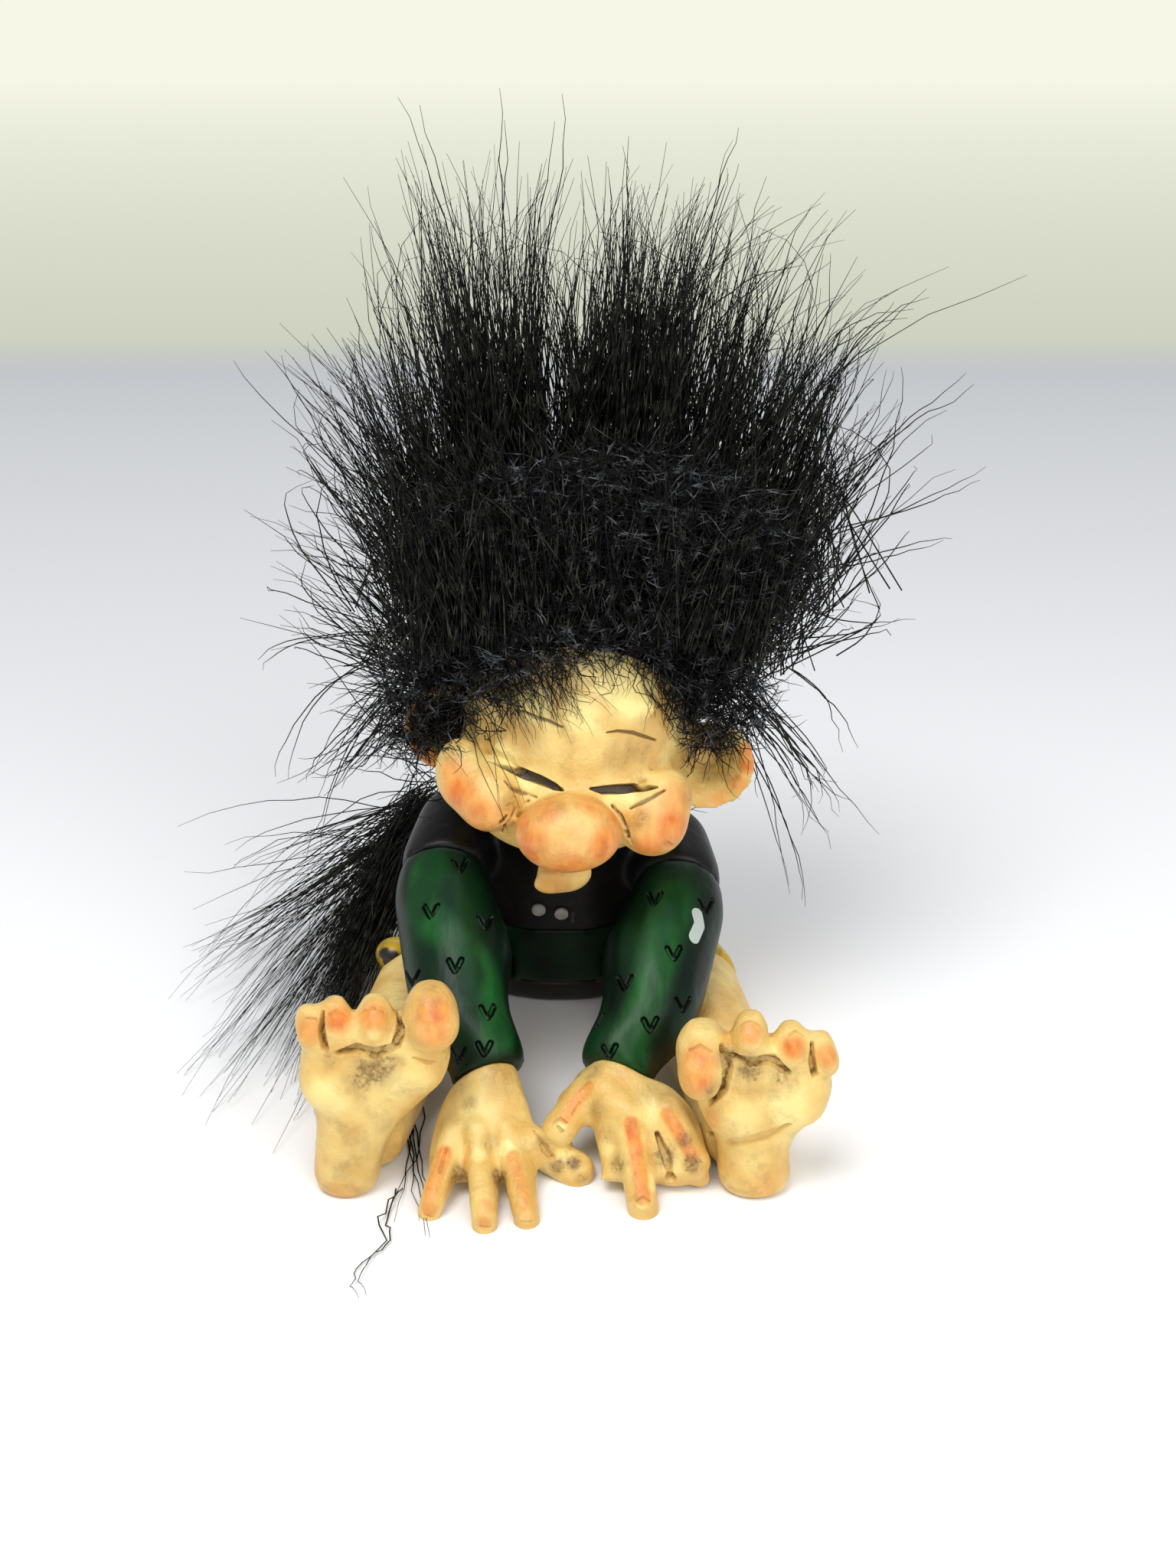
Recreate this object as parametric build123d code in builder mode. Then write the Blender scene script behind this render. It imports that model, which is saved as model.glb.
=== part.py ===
from build123d import *
import os

os.makedirs("parts", exist_ok=True)

# Sitting troll figure, cast in pieces and pegged together, with fur for hair and tail.
# Millimetres. It faces -Y, its own left side is +X, Z is up and the floor is Z = 0.
# The origin is the middle of the flat underside of the seat.

# Trunk, which is sliced into the seat of the trousers, the shirt and the vest
trunk_width = 24.6
trunk_depth = 19.8
collar_height = 25.5
collar_lean = 10.5
collar_aside = 1.2
shirt_bottom = 3.0
vest_bottom = 10.3
vest_step = 0.3
shirt_step = 0.35

# Height, lean, width and depth of each trunk section, as shares of the sizes above
trunk_shares = (
    (0.00, 0.00, 0.90, 0.82),
    (0.16, 0.03, 0.99, 0.98),
    (0.34, 0.13, 1.00, 1.00),
    (0.53, 0.30, 0.96, 0.95),
    (0.72, 0.54, 0.88, 0.86),
    (0.89, 0.80, 0.70, 0.70),
    (1.00, 1.00, 0.46, 0.48),
)

# Vest buttons, two discs side by side on the front
button_diameter = 1.35
button_sunk = 0.8
button_proud = 0.3
button_height = 13.0
button_pitch = 2.2
button_aside = -0.7
button_drop = 0.5

# Arms: shoulder, wrist and thickness. The armhole and the cuff are flat seams across the arm.
arm_width = 9.8
cuff_width = 6.4
right_shoulder = (-9.0, -8.5, 21.0)
right_wrist = (-6.2, -33.0, 7.5)
left_shoulder = (10.3, -8.5, 18.8)
left_wrist = (5.8, -33.0, 7.6)
elbow_spread = 2.0
elbow_rise = 1.6

# Along, out, up and thickness of each arm section. Out and up are shares of the elbow's sizes.
arm_shares = (
    (-0.10, 0.00, 0.00, 0.52),
    (-0.05, 0.00, 0.00, 0.80),
    (0.03, 0.10, 0.05, 0.91),
    (0.20, 1.00, 0.60, 0.87),
    (0.42, 1.30, 1.00, 0.97),
    (0.70, 0.90, 0.75, 0.99),
    (0.88, 0.45, 0.35, 0.80),
)
armhole_section = 3
armhole_share = 0.30

# Legs: the hip, the hem of the trousers, the ankle and their widths
hip_spread = 7.4
hip_forward = 1.0
thigh_rise = 5.3
thigh_width = 11.0
hem_spread = 12.9
hem_forward = 14.5
hem_width = 10.6
hem_step = 0.35
leg_rise = 5.0
calf_spread = 15.2
calf_forward = 26.0
calf_width = 8.9
ankle_spread = 17.0
ankle_forward = 37.4
ankle_width = 7.2

# Feet, which stand on their heels with the soles to the front
sole_forward = 42.0
foot_depth = 5.6
right_foot_spread = 18.3
right_foot_height = 17.2
right_foot_width = 13.2
left_foot_spread = 17.6
left_foot_height = 14.9
left_foot_width = 12.0
big_toe_diameter = 4.9
toe_diameter = 3.3

# Height, shift to the inner side, width and depth of each section of a foot, from heel to ball
right_foot_shares = (
    (0.00, 0.00, 0.36, 0.78),
    (0.15, 0.01, 0.46, 0.98),
    (0.38, 0.08, 0.52, 0.90),
    (0.59, 0.18, 0.84, 0.92),
    (0.80, 0.23, 1.00, 0.92),
    (1.00, 0.25, 0.90, 0.62),
)
left_foot_shares = (
    (0.00, 0.00, 0.42, 0.78),
    (0.18, 0.00, 0.54, 0.98),
    (0.38, 0.00, 0.60, 0.90),
    (0.54, -0.03, 0.88, 0.98),
    (0.76, -0.05, 1.00, 0.94),
    (1.00, -0.06, 0.90, 0.62),
)

# Shift to the inner side and height of each toe as shares of its foot, then its share of a toe's width
right_toe_shares = ((0.24, 1.03, 1.00), (-0.02, 1.03, 0.90), (-0.19, 0.99, 0.84))
left_toe_shares = ((0.06, 1.08, 1.00), (-0.23, 1.02, 0.94), (-0.44, 0.96, 0.88))
right_big_toe_share = (0.60, 1.04)
left_big_toe_share = (0.40, 0.95)
toe_stretch_share = 1.2

# Fingers and toes are carved with flats. Width and height of each ring of their ends, as shares.
digit_sides = 8
disc_sides = 14
rounding_shares = ((1.00, 0.30), (0.60, 0.90))

# Hands, flat on the floor between the feet
hand_width = 9.6
hand_depth = 3.9
knuckle_forward = 37.6
knuckle_rise = 3.5
web_forward = 3.2
web_rise = 1.8
web_depth = 2.0
finger_diameter = 2.9
fingertip_diameter = 2.0
thumb_diameter = 2.9
finger_reach = 44.7

# Middle of the knuckles, from the wrist: aside as a share of the hand's width
right_palm_share = 0.0
left_palm_share = 0.28
# Side of each knuckle, then side and reach of its fingertip, as shares of hand width and reach
right_finger_shares = ((-0.26, -0.43, 0.962), (0.02, 0.05, 1.000), (0.29, 0.42, 0.985))
left_finger_shares = ((0.15, 0.20, 0.950), (0.42, 0.74, 0.880))
# Points of the right thumb, the left web and the left bent finger: side, reach and rise shares
right_thumb_shares = ((0.30, 0.935, 0.90), (0.88, 1.00, 0.26))
left_web_share = (0.50, 1.00, 0.42)
left_web_size_share = (0.68, 1.70, 0.72)
left_bent_shares = ((-0.10, 0.905, 1.45), (-0.43, 0.93, 1.68), (-0.56, 0.99, 1.04))

# Head: skull, muzzle and features
head_width = 20.6
head_depth = 21.4
head_height = 23.4
head_forward = 15.4
head_rise = 35.6
head_aside = 1.7
head_nod = 10.0
muzzle_width = 19.2
muzzle_depth = 13.0
muzzle_height = 12.4
nose_width = 9.7
nose_depth = 6.6
nose_height = 7.1
cheek_diameter = 6.6
chin_width = 5.2
chin_depth = 3.8
chin_height = 4.0
ear_diameter = 9.0
ear_depth = 4.4
ear_wall = 1.1
ear_back_share = 0.55

# Place of each feature from the middle of the skull, as shares of half its width, depth and height
muzzle_share = (-0.04, -0.46, -0.47)
nose_share = (-0.04, -1.22, -0.52)
right_cheek_share = (-0.72, -0.86, -0.35)
left_cheek_share = (0.68, -0.88, -0.56)
chin_share = (-0.08, -0.82, -1.03)
right_ear_share = (-1.08, 0.02, -0.08)
left_ear_share = (1.19, 0.02, -0.40)

# Fur: the backing that is glued over the skull, the thick of the hair and its locks
pelt_thickness = 0.9
hairline_share = (-0.62, 0.75)
nape_share = (0.30, -0.65)
fur_width = 40.0
fur_depth = 28.0
fur_height = 34.0
fur_rise = 47.0
fur_forward = 9.4
fur_aside = 5.5
fringe_overhang = 1.2
lock_reach = 40.0
lock_start = 11.0
lock_diameter = 7.6
lock_tip_share = 0.14
lock_sides = 6

# Rows of locks from front to back: lean back, first and last fan angle in degrees, reach shares
lock_row_shares = (
    (-14, -72, 80, (0.70, 0.66, 0.66, 0.68, 0.66, 0.66, 0.70, 0.68)),
    (4, -100, 104, (0.76, 0.72, 0.84, 0.92, 1.02, 0.94, 0.97, 0.86, 0.88, 0.80, 0.66)),
    (30, -92, 94, (0.62, 0.70, 0.78, 0.84, 0.86, 0.84, 0.80, 0.74, 0.62)),
    (64, -78, 80, (0.56, 0.60, 0.64, 0.64, 0.60, 0.56)),
)

# Tail: a thin stem that rises from the back of the seat, and the plume of fur on its end
stem_diameter = 2.6
stem_tip_diameter = 1.8
stem_root = (-6.0, 6.0, 1.9)
stem_bend = (-10.0, 10.2, 6.4)
stem_end = (-13.6, 9.0, 12.6)
plume_width = 9.5
plume_reach = (-34.0, -2.0, 1.0)

# Shares of the way to the plume's reach, along each axis, and of its width
plume_shares = (
    (0.00, 0.00, 0.00, 0.30),
    (0.20, 0.45, 0.22, 0.75),
    (0.42, 0.80, 0.55, 1.00),
    (0.66, 0.95, 0.85, 0.66),
    (1.00, 1.00, 1.00, 0.16),
)
# Wisps that leave the plume along the floor
wisp_ends = ((-40.0, 5.0, 0.8), (-37.0, -9.0, 0.8), (-34.0, -18.0, 0.8))
wisp_diameter = 3.4

# Pegs that hold the cast pieces together, and the clearance round them
peg_diameter = 2.4
peg_length = 8.0
neck_peg_diameter = 3.2
neck_peg_length = 11.0
body_peg_diameter = 4.0
body_peg_length = 12.0
peg_sides = 6
peg_clearance = 0.05

# How coarse the flat faces are: how far a facet may miss its surface and its turn in radians, then for
# a ball its rings from top to bottom and the degrees its facets are set off from the middle plane
facet_tolerance = 0.5
facet_turn = 0.3
ball_rings = 10
facet_offset = 13
half_turn = 180

overrun = 60.0


def faceted(form):
    """The same form in small flat faces, as if it were carved."""
    points, triangles = form.tessellate(facet_tolerance, facet_turn)
    corners = [[points[index] for index in triangle] for triangle in triangles]
    return Solid(Shell([Face(Wire.make_polygon(corner)) for corner in corners]))


def ball(place, size, turn=(0, 0, 0)):
    """An ellipsoid of the given full size about place, in flat faces ring by ring."""
    step = half_turn / ball_rings
    rings = []
    for ring in range(ball_rings):
        rim = Vector(0, 0, 1).rotate(Axis.Y, (ring + 1 / 2) * step)
        around = [rim.rotate(Axis.Z, facet_offset + side * step) for side in range(2 * ball_rings)]
        rings.append([tuple(share * length / 2 for share, length in zip(point, size)) for point in around])
    corners = [rings[0], rings[-1][::-1]]
    for upper, lower in zip(rings, rings[1:]):
        for side in range(2 * ball_rings):
            corners.append([upper[side - 1], lower[side - 1], lower[side], upper[side]])
    faces = [Face(Wire.make_polygon(points)) for points in corners]
    return Location(place, turn) * Solid(Shell(faces))


def section_planes(places):
    """Planes square to a limb at each of its places, from the line through the neighbours."""
    points = [Vector(*place) for place in places]
    last = len(points) - 1
    return [
        Plane(origin=point, z_dir=points[min(i + 1, last)] - points[max(i - 1, 0)])
        for i, point in enumerate(points)
    ]


def limb(places, widths, straight=False):
    """A round limb through circles along its places, smooth or with straight sides between them."""
    with BuildPart() as piece:
        for plane, width in zip(section_planes(places), widths):
            with BuildSketch(plane):
                Circle(width / 2)
        loft(ruled=straight)
    return faceted(piece.part)


def plume(places, widths):
    """A many-sided limb, for fur."""
    with BuildPart() as piece:
        for plane, width in zip(section_planes(places), widths):
            with BuildSketch(plane):
                RegularPolygon(width / 2, disc_sides)
        loft(ruled=True)
    return faceted(piece.part)


def stack(origin, axis, rings):
    """Many-sided rings stacked along an axis and joined by flat sides, as a carved digit is."""
    base = Plane(origin=origin, z_dir=axis)
    with BuildPart() as piece:
        for height, width in rings:
            with BuildSketch(base.offset(height)):
                RegularPolygon(width / 2, digit_sides)
        loft(ruled=True)
    return faceted(piece.part)


def digit(root, tip, root_width, tip_width):
    """A finger: a taper that ends in a rounded tip."""
    line = Vector(*tip) - Vector(*root)
    rounding = [(line.length + high * tip_width / 2, wide * tip_width) for wide, high in rounding_shares]
    return stack(root, line, [(0, root_width)] + rounding)


def bead(place, width, height):
    """A toe: an upright bead that is rounded above and below."""
    upper = [(high * height / 2, wide * width) for wide, high in rounding_shares]
    lower = [(-high, wide) for high, wide in reversed(upper)]
    return stack(place, (0, 0, 1), lower + upper)


def peg(plane, width, length):
    """A six-sided peg, which can't turn, with its middle on a seam plane."""
    with BuildPart() as piece:
        with BuildSketch(plane):
            RegularPolygon(width / 2, peg_sides, major_radius=False)
        extrude(amount=length / 2, both=True)
    return piece.part


def between(start, end, share):
    """The point at a share of the way from start to end."""
    return Vector(*start) + (Vector(*end) - Vector(*start)) * share


def mirrored(place):
    """The same place on the other side of the figure."""
    return (-place[0], place[1], place[2])


def trunk_solid(inset):
    """The whole trunk, lofted from the seat to the collar, drawn in by an inset."""
    with BuildPart() as piece:
        for height, lean, width, depth in trunk_shares:
            with BuildSketch(Plane.XY.offset(height * collar_height)):
                with Locations((lean * collar_aside, -lean * collar_lean)):
                    Ellipse(width * trunk_width / 2 - inset, depth * trunk_depth / 2 - inset)
        loft()
    return faceted(piece.part)


collar_plane = Plane(origin=(collar_aside, -collar_lean, collar_height))


# Arms, before the armholes and cuffs divide them
def arm_places(shoulder, wrist, side):
    """Middle points of an arm's sections, with the elbow out to the side and up."""
    places = []
    for along, out, up, width in arm_shares:
        point = between(shoulder, wrist, along)
        places.append((point.X + side * out * elbow_spread, point.Y, point.Z + up * elbow_rise))
    return places + [wrist]


arm_widths = [width * arm_width for along, out, up, width in arm_shares] + [cuff_width]
right_places = arm_places(right_shoulder, right_wrist, -1)
left_places = arm_places(left_shoulder, left_wrist, 1)
right_arm = limb(right_places, arm_widths)
left_arm = limb(left_places, arm_widths)


def armhole(places):
    """The flat seam between vest and sleeve, square to the upper arm."""
    upper, elbow = places[armhole_section], places[armhole_section + 1]
    return Plane(origin=between(upper, elbow, armhole_share), z_dir=Vector(*elbow) - Vector(*upper))


right_armhole = armhole(right_places)
left_armhole = armhole(left_places)
right_cuff = section_planes(right_places)[-1]
left_cuff = section_planes(left_places)[-1]

# Legs: the line from the hip past the hem to the ankle
hip = (-hip_spread, -hip_forward, thigh_rise)
hem = (-hem_spread, -hem_forward, thigh_rise)
calf = (-calf_spread, -calf_forward, leg_rise)
ankle = (-ankle_spread, -ankle_forward, ankle_width / 2)
right_thigh = limb([hip, hem, calf], [thigh_width, hem_width, calf_width], straight=True)
shin_widths = [thigh_width, hem_width - 2 * hem_step, calf_width, ankle_width]
right_shin = limb([hip, hem, calf, ankle], shin_widths, straight=True)
right_hem = section_planes([hip, hem, calf])[1]
left_hem = section_planes([mirrored(hip), mirrored(hem), mirrored(calf)])[1]


def foot(spread, height, width, sections, side):
    """A foot that stands on its heel, lofted from the heel to the ball."""
    with BuildPart() as piece:
        for level, shift, wide, deep in sections:
            with BuildSketch(Plane.XY.offset(level * height)):
                with Locations((side * (spread - shift * width), foot_depth / 2 - sole_forward)):
                    Ellipse(wide * width / 2, deep * foot_depth / 2)
        loft()
    return faceted(piece.part)


def toes(spread, height, width, big_toe, small_toes, side):
    """The big toe and the three small ones along the top of a foot."""
    beads = []
    for shift, level, wide in [(*big_toe, big_toe_diameter / toe_diameter)] + list(small_toes):
        place = (side * (spread - shift * width), foot_depth / 2 - sole_forward, level * height)
        breadth = wide * toe_diameter
        beads.append(bead(place, breadth, toe_stretch_share * breadth))
    return beads


right_foot = foot(right_foot_spread, right_foot_height, right_foot_width, right_foot_shares, -1)
left_foot = foot(left_foot_spread, left_foot_height, left_foot_width, left_foot_shares, 1)
right_size = (right_foot_spread, right_foot_height, right_foot_width)
left_size = (left_foot_spread, left_foot_height, left_foot_width)
right_toes = toes(*right_size, right_big_toe_share, right_toe_shares, -1)
left_toes = toes(*left_size, left_big_toe_share, left_toe_shares, 1)


# Hands, from the cuffs to the fingertips
def hand(wrist, cuff, palm_share, fingers):
    """A hand, lofted from the round wrist over the knuckles to the thin web, with straight fingers."""
    knuckles = (wrist[0] + palm_share * hand_width, -knuckle_forward, knuckle_rise)
    web = (knuckles[0], -knuckle_forward - web_forward, web_rise)
    line = Vector(*knuckles) - Vector(*wrist)
    with BuildPart() as palm:
        with BuildSketch(Plane(origin=wrist, x_dir=(1, 0, 0), z_dir=cuff.z_dir)):
            Circle(cuff_width / 2 - hem_step)
        with BuildSketch(Plane(origin=between(wrist, knuckles, 1 / 2), x_dir=(1, 0, 0), z_dir=line)):
            Ellipse((hand_width + cuff_width) / 4, (hand_depth + cuff_width) / 4)
        with BuildSketch(Plane(origin=knuckles, x_dir=(1, 0, 0), z_dir=line)):
            Ellipse(hand_width / 2, hand_depth / 2)
        with BuildSketch(Plane(origin=web, x_dir=(1, 0, 0), z_dir=Vector(*web) - Vector(*knuckles))):
            Ellipse(hand_width / 2, web_depth / 2)
        loft()
    with BuildPart() as piece:
        add(faceted(palm.part))
        for root_side, tip_side, reach in fingers:
            root = (wrist[0] + root_side * hand_width, -knuckle_forward, knuckle_rise)
            tip = (wrist[0] + tip_side * hand_width, -reach * finger_reach, fingertip_diameter / 2)
            add(digit(root, tip, finger_diameter, fingertip_diameter))
    return piece.part


def hand_point(wrist, shares):
    """A point of a hand from its side, reach and rise shares."""
    side, reach, rise = shares
    return (wrist[0] + side * hand_width, -reach * knuckle_forward, rise * knuckle_rise)


# Places of the head's features, from the middle of the skull
def head_point(shares):
    """A point of the head from its shares of half the skull's width, depth and height."""
    across, forward, up = shares
    return (
        head_aside + across * head_width / 2,
        -head_forward + forward * head_depth / 2,
        head_rise + up * head_height / 2,
    )


head_middle = head_point((0, 0, 0))
skull_size = (head_width, head_depth, head_height)
hairline = head_point((0, *hairline_share))
nape = head_point((0, *nape_share))
hair_front = Plane(
    origin=hairline, x_dir=(1, 0, 0), z_dir=(0, hairline[2] - nape[2], nape[1] - hairline[1])
)


def dish(place, inset):
    """An ear's round dish, narrower at the back, or the hollow in its front when it is drawn in."""
    front = Plane(origin=Vector(*place) - Vector(0, ear_depth / 2), x_dir=(1, 0, 0), z_dir=(0, 1, 0))
    with BuildPart() as piece:
        for plane, share in ((front, 1), (front.offset(ear_depth - inset), ear_back_share)):
            with BuildSketch(plane):
                RegularPolygon(share * ear_diameter / 2 - inset, disc_sides)
        loft(ruled=True)
    return faceted(piece.part)


def lock(root, tip, width):
    """A tapered tuft of fur with flat sides."""
    line = Vector(*tip) - Vector(*root)
    with BuildPart() as piece:
        with BuildSketch(Plane(origin=root, z_dir=line)):
            RegularPolygon(width / 2, lock_sides, major_radius=False)
        with BuildSketch(Plane(origin=tip, z_dir=line)):
            RegularPolygon(lock_tip_share * width / 2, lock_sides, major_radius=False)
        loft(ruled=True)
    return faceted(piece.part)


# Pegs, each across a seam
peg_places = {
    "neck_peg": (collar_plane, neck_peg_diameter, neck_peg_length),
    "body_peg": (Plane(origin=(0, 0, vest_bottom)), body_peg_diameter, body_peg_length),
    "right_arm_peg": (right_armhole, peg_diameter, peg_length),
    "left_arm_peg": (left_armhole, peg_diameter, peg_length),
    "right_wrist_peg": (right_cuff, peg_diameter, peg_length),
    "left_wrist_peg": (left_cuff, peg_diameter, peg_length),
    "right_leg_peg": (right_hem, peg_diameter, peg_length),
    "left_leg_peg": (left_hem, peg_diameter, peg_length),
}
pieces = {}
holes = {}
for name, (plane, width, length) in peg_places.items():
    with BuildPart() as fastener:
        add(peg(plane, width, length))
    pieces[name] = fastener
    holes[name] = peg(plane, width + 2 * peg_clearance, length + 2 * peg_clearance)

# Tail stem, set into the back of the seat
with BuildPart() as tail_stem:
    stem_widths = [stem_diameter, stem_diameter, stem_tip_diameter]
    add(limb([stem_root, stem_bend, stem_end], stem_widths, straight=True))
pieces["tail_stem"] = tail_stem

# Buttons, each a disc that follows the curve of the vest's front
for name, side in (("right_button", -1), ("left_button", 1)):
    centre = (button_aside + side * button_pitch / 2, -overrun, button_height - side * button_drop / 2)
    with BuildPart() as button:
        with BuildSketch(Plane(origin=centre, z_dir=(0, 1, 0))):
            RegularPolygon(button_diameter / 2, disc_sides)
        extrude(amount=overrun)
        add(trunk_solid(-button_proud), mode=Mode.INTERSECT)
        add(trunk_solid(button_sunk), mode=Mode.SUBTRACT)
    pieces[name] = button

# Vest: the upper trunk with both shoulders, down to its hem and out to the armholes
shoulders = []
for places, arm, seam in ((right_places, right_arm, right_armhole), (left_places, left_arm, left_armhole)):
    with BuildPart() as shoulder:
        add(arm)
        split(bisect_by=seam, keep=Keep.BOTTOM)
    shoulders.append(shoulder.part)

with BuildPart() as vest:
    add(trunk_solid(0))
    split(bisect_by=Plane.XY.offset(vest_bottom), keep=Keep.TOP)
    add(shoulders)
    add([holes["neck_peg"], holes["body_peg"]], mode=Mode.SUBTRACT)
    add([holes["right_arm_peg"], holes["left_arm_peg"]], mode=Mode.SUBTRACT)
    add([pieces["right_button"].part, pieces["left_button"].part], mode=Mode.SUBTRACT)
pieces["vest"] = vest

# Trousers: the seat and both thighs down to the hems
with BuildPart() as thighs:
    add(right_thigh)
    split(bisect_by=right_hem, keep=Keep.BOTTOM)
    mirror(about=Plane.YZ)
    split(bisect_by=Plane.XY, keep=Keep.TOP)

with BuildPart() as trousers:
    add(trunk_solid(vest_step + shirt_step))
    split(bisect_by=Plane.XY.offset(shirt_bottom), keep=Keep.BOTTOM)
    add(thighs.part)
    add(vest.part, mode=Mode.SUBTRACT)
    add([holes["right_leg_peg"], holes["left_leg_peg"], holes["body_peg"]], mode=Mode.SUBTRACT)
    add(tail_stem.part, mode=Mode.SUBTRACT)
pieces["trousers"] = trousers

# Shirt: the middle of the trunk, between the seat and the vest
with BuildPart() as shirt:
    add(trunk_solid(vest_step))
    split(bisect_by=Plane.XY.offset(vest_bottom), keep=Keep.BOTTOM)
    split(bisect_by=Plane.XY.offset(shirt_bottom), keep=Keep.TOP)
    add([trousers.part, tail_stem.part, holes["body_peg"]], mode=Mode.SUBTRACT)
pieces["shirt"] = shirt

# Sleeves, from the armholes to the cuffs
for name, arm, seam, arm_peg, wrist_peg in (
    ("right_sleeve", right_arm, right_armhole, "right_arm_peg", "right_wrist_peg"),
    ("left_sleeve", left_arm, left_armhole, "left_arm_peg", "left_wrist_peg"),
):
    with BuildPart() as sleeve:
        add(arm)
        split(bisect_by=seam, keep=Keep.TOP)
        add([vest.part, shirt.part, trousers.part], mode=Mode.SUBTRACT)
        add([holes[arm_peg], holes[wrist_peg]], mode=Mode.SUBTRACT)
    pieces[name] = sleeve

# Legs: the shin, the foot and its toes in one piece
left_shin = mirror(right_shin, about=Plane.YZ, mode=Mode.PRIVATE)
for name, shin, seam, sole, toe_beads, hem_peg, sleeve in (
    ("right_leg", right_shin, right_hem, right_foot, right_toes, "right_leg_peg", "right_sleeve"),
    ("left_leg", left_shin, left_hem, left_foot, left_toes, "left_leg_peg", "left_sleeve"),
):
    with BuildPart() as leg:
        add(shin)
        split(bisect_by=seam, keep=Keep.TOP)
        add(sole)
        add(toe_beads)
        split(bisect_by=Plane.XY, keep=Keep.TOP)
        add([pieces[sleeve].part, holes[hem_peg]], mode=Mode.SUBTRACT)
    pieces[name] = leg

# Hands: the right one first, because the left one's bent finger rests on its thumb
with BuildPart() as right_hand:
    add(hand(right_wrist, right_cuff, right_palm_share, right_finger_shares))
    thumb_root, thumb_tip = (hand_point(right_wrist, shares) for shares in right_thumb_shares)
    add(digit(thumb_root, thumb_tip, thumb_diameter, fingertip_diameter))
    split(bisect_by=Plane.XY, keep=Keep.TOP)
    add([pieces["right_sleeve"].part, pieces["right_leg"].part], mode=Mode.SUBTRACT)
    add(holes["right_wrist_peg"], mode=Mode.SUBTRACT)
pieces["right_hand"] = right_hand

with BuildPart() as left_hand:
    add(hand(left_wrist, left_cuff, left_palm_share, left_finger_shares))
    root, bend, tip = (hand_point(left_wrist, shares) for shares in left_bent_shares)
    add(digit(root, bend, finger_diameter, finger_diameter))
    add(digit(bend, tip, finger_diameter, fingertip_diameter))
    web_wide, web_long, web_deep = left_web_size_share
    add(ball(
        hand_point(left_wrist, left_web_share),
        (web_wide * hand_width, web_long * hand_depth, web_deep * hand_depth),
    ))
    split(bisect_by=Plane.XY, keep=Keep.TOP)
    add([pieces["left_sleeve"].part, pieces["left_leg"].part, right_hand.part], mode=Mode.SUBTRACT)
    add(holes["left_wrist_peg"], mode=Mode.SUBTRACT)
pieces["left_hand"] = left_hand

# Head: the skull and muzzle with nose, cheeks, chin and hollow ears
skull = ball(head_middle, skull_size, (head_nod, 0, 0))
muzzle = ball(head_point(muzzle_share), (muzzle_width, muzzle_depth, muzzle_height))
nose = ball(head_point(nose_share), (nose_width, nose_depth, nose_height))
chin = ball(head_point(chin_share), (chin_width, chin_depth, chin_height))
cheek_size = (cheek_diameter, cheek_diameter, cheek_diameter)
right_cheek = ball(head_point(right_cheek_share), cheek_size)
left_cheek = ball(head_point(left_cheek_share), cheek_size)
ears, ear_hollows = (
    [dish(head_point(share), inset) for share in (right_ear_share, left_ear_share)]
    for inset in (0, ear_wall)
)
with BuildPart() as head:
    add(ears)
    add(ear_hollows, mode=Mode.SUBTRACT)
    add([skull, muzzle, nose, chin, right_cheek, left_cheek])
    add([trunk_solid(0), holes["neck_peg"]], mode=Mode.SUBTRACT)
pieces["head"] = head

# Fur backing: a cap that lies on the skull behind the hairline
pelt_outside = ball(head_middle, tuple(size + 2 * pelt_thickness for size in skull_size), (head_nod, 0, 0))
with BuildPart() as hair_pelt:
    add(pelt_outside)
    split(bisect_by=hair_front, keep=Keep.TOP)
    add(skull, mode=Mode.SUBTRACT)
    add([*ears, muzzle, trunk_solid(0), holes["neck_peg"]], mode=Mode.SUBTRACT)
pieces["hair_pelt"] = hair_pelt

# Hair: the thick of the fur with rows of locks that fan out from it
fur_middle = Vector(fur_aside, -fur_forward, fur_rise)
locks = []
for lean, first_fan, last_fan, reaches in lock_row_shares:
    for index, reach in enumerate(reaches):
        fan = first_fan + (last_fan - first_fan) * index / (len(reaches) - 1)
        aim = Vector(0, 0, 1).rotate(Axis.Y, fan).rotate(Axis.X, -lean)
        tip = fur_middle + aim * reach * lock_reach
        locks.append(lock(fur_middle + aim * lock_start, tip, lock_diameter))
with BuildPart() as hair:
    add(ball(fur_middle, (fur_width, fur_depth, fur_height)))
    add(locks)
    split(bisect_by=hair_front.offset(-fringe_overhang), keep=Keep.TOP)
    add([pelt_outside, *ears, muzzle, trunk_solid(0), *shoulders], mode=Mode.SUBTRACT)
pieces["hair"] = hair

# Tail fur: a plume round the stem's end that spreads along the floor in wisps
plume_start = Vector(*stem_end)
plume_way = Vector(*plume_reach) - plume_start
plume_places = [
    plume_start + Vector(x_share * plume_way.X, y_share * plume_way.Y, z_share * plume_way.Z)
    for x_share, y_share, z_share, width in plume_shares
]
with BuildPart() as tail_fur:
    add(plume(plume_places, [width * plume_width for *place, width in plume_shares]))
    for end in wisp_ends:
        add(lock(plume_places[2], end, wisp_diameter))
    split(bisect_by=Plane.XY, keep=Keep.TOP)
    add([tail_stem.part, trousers.part, shirt.part, vest.part], mode=Mode.SUBTRACT)
    add(pieces["right_leg"].part, mode=Mode.SUBTRACT)
pieces["tail_fur"] = tail_fur

for name, piece in pieces.items():
    piece.part.label = name
    export_step(piece.part, f"parts/{name}.step")
    print(name, len(piece.part.solids()), round(piece.part.volume))
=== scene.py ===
import math
import random

import bmesh
import bpy
import numpy as np
from mathutils import Euler, Matrix, Vector, noise
from mathutils.bvhtree import BVHTree


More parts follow.
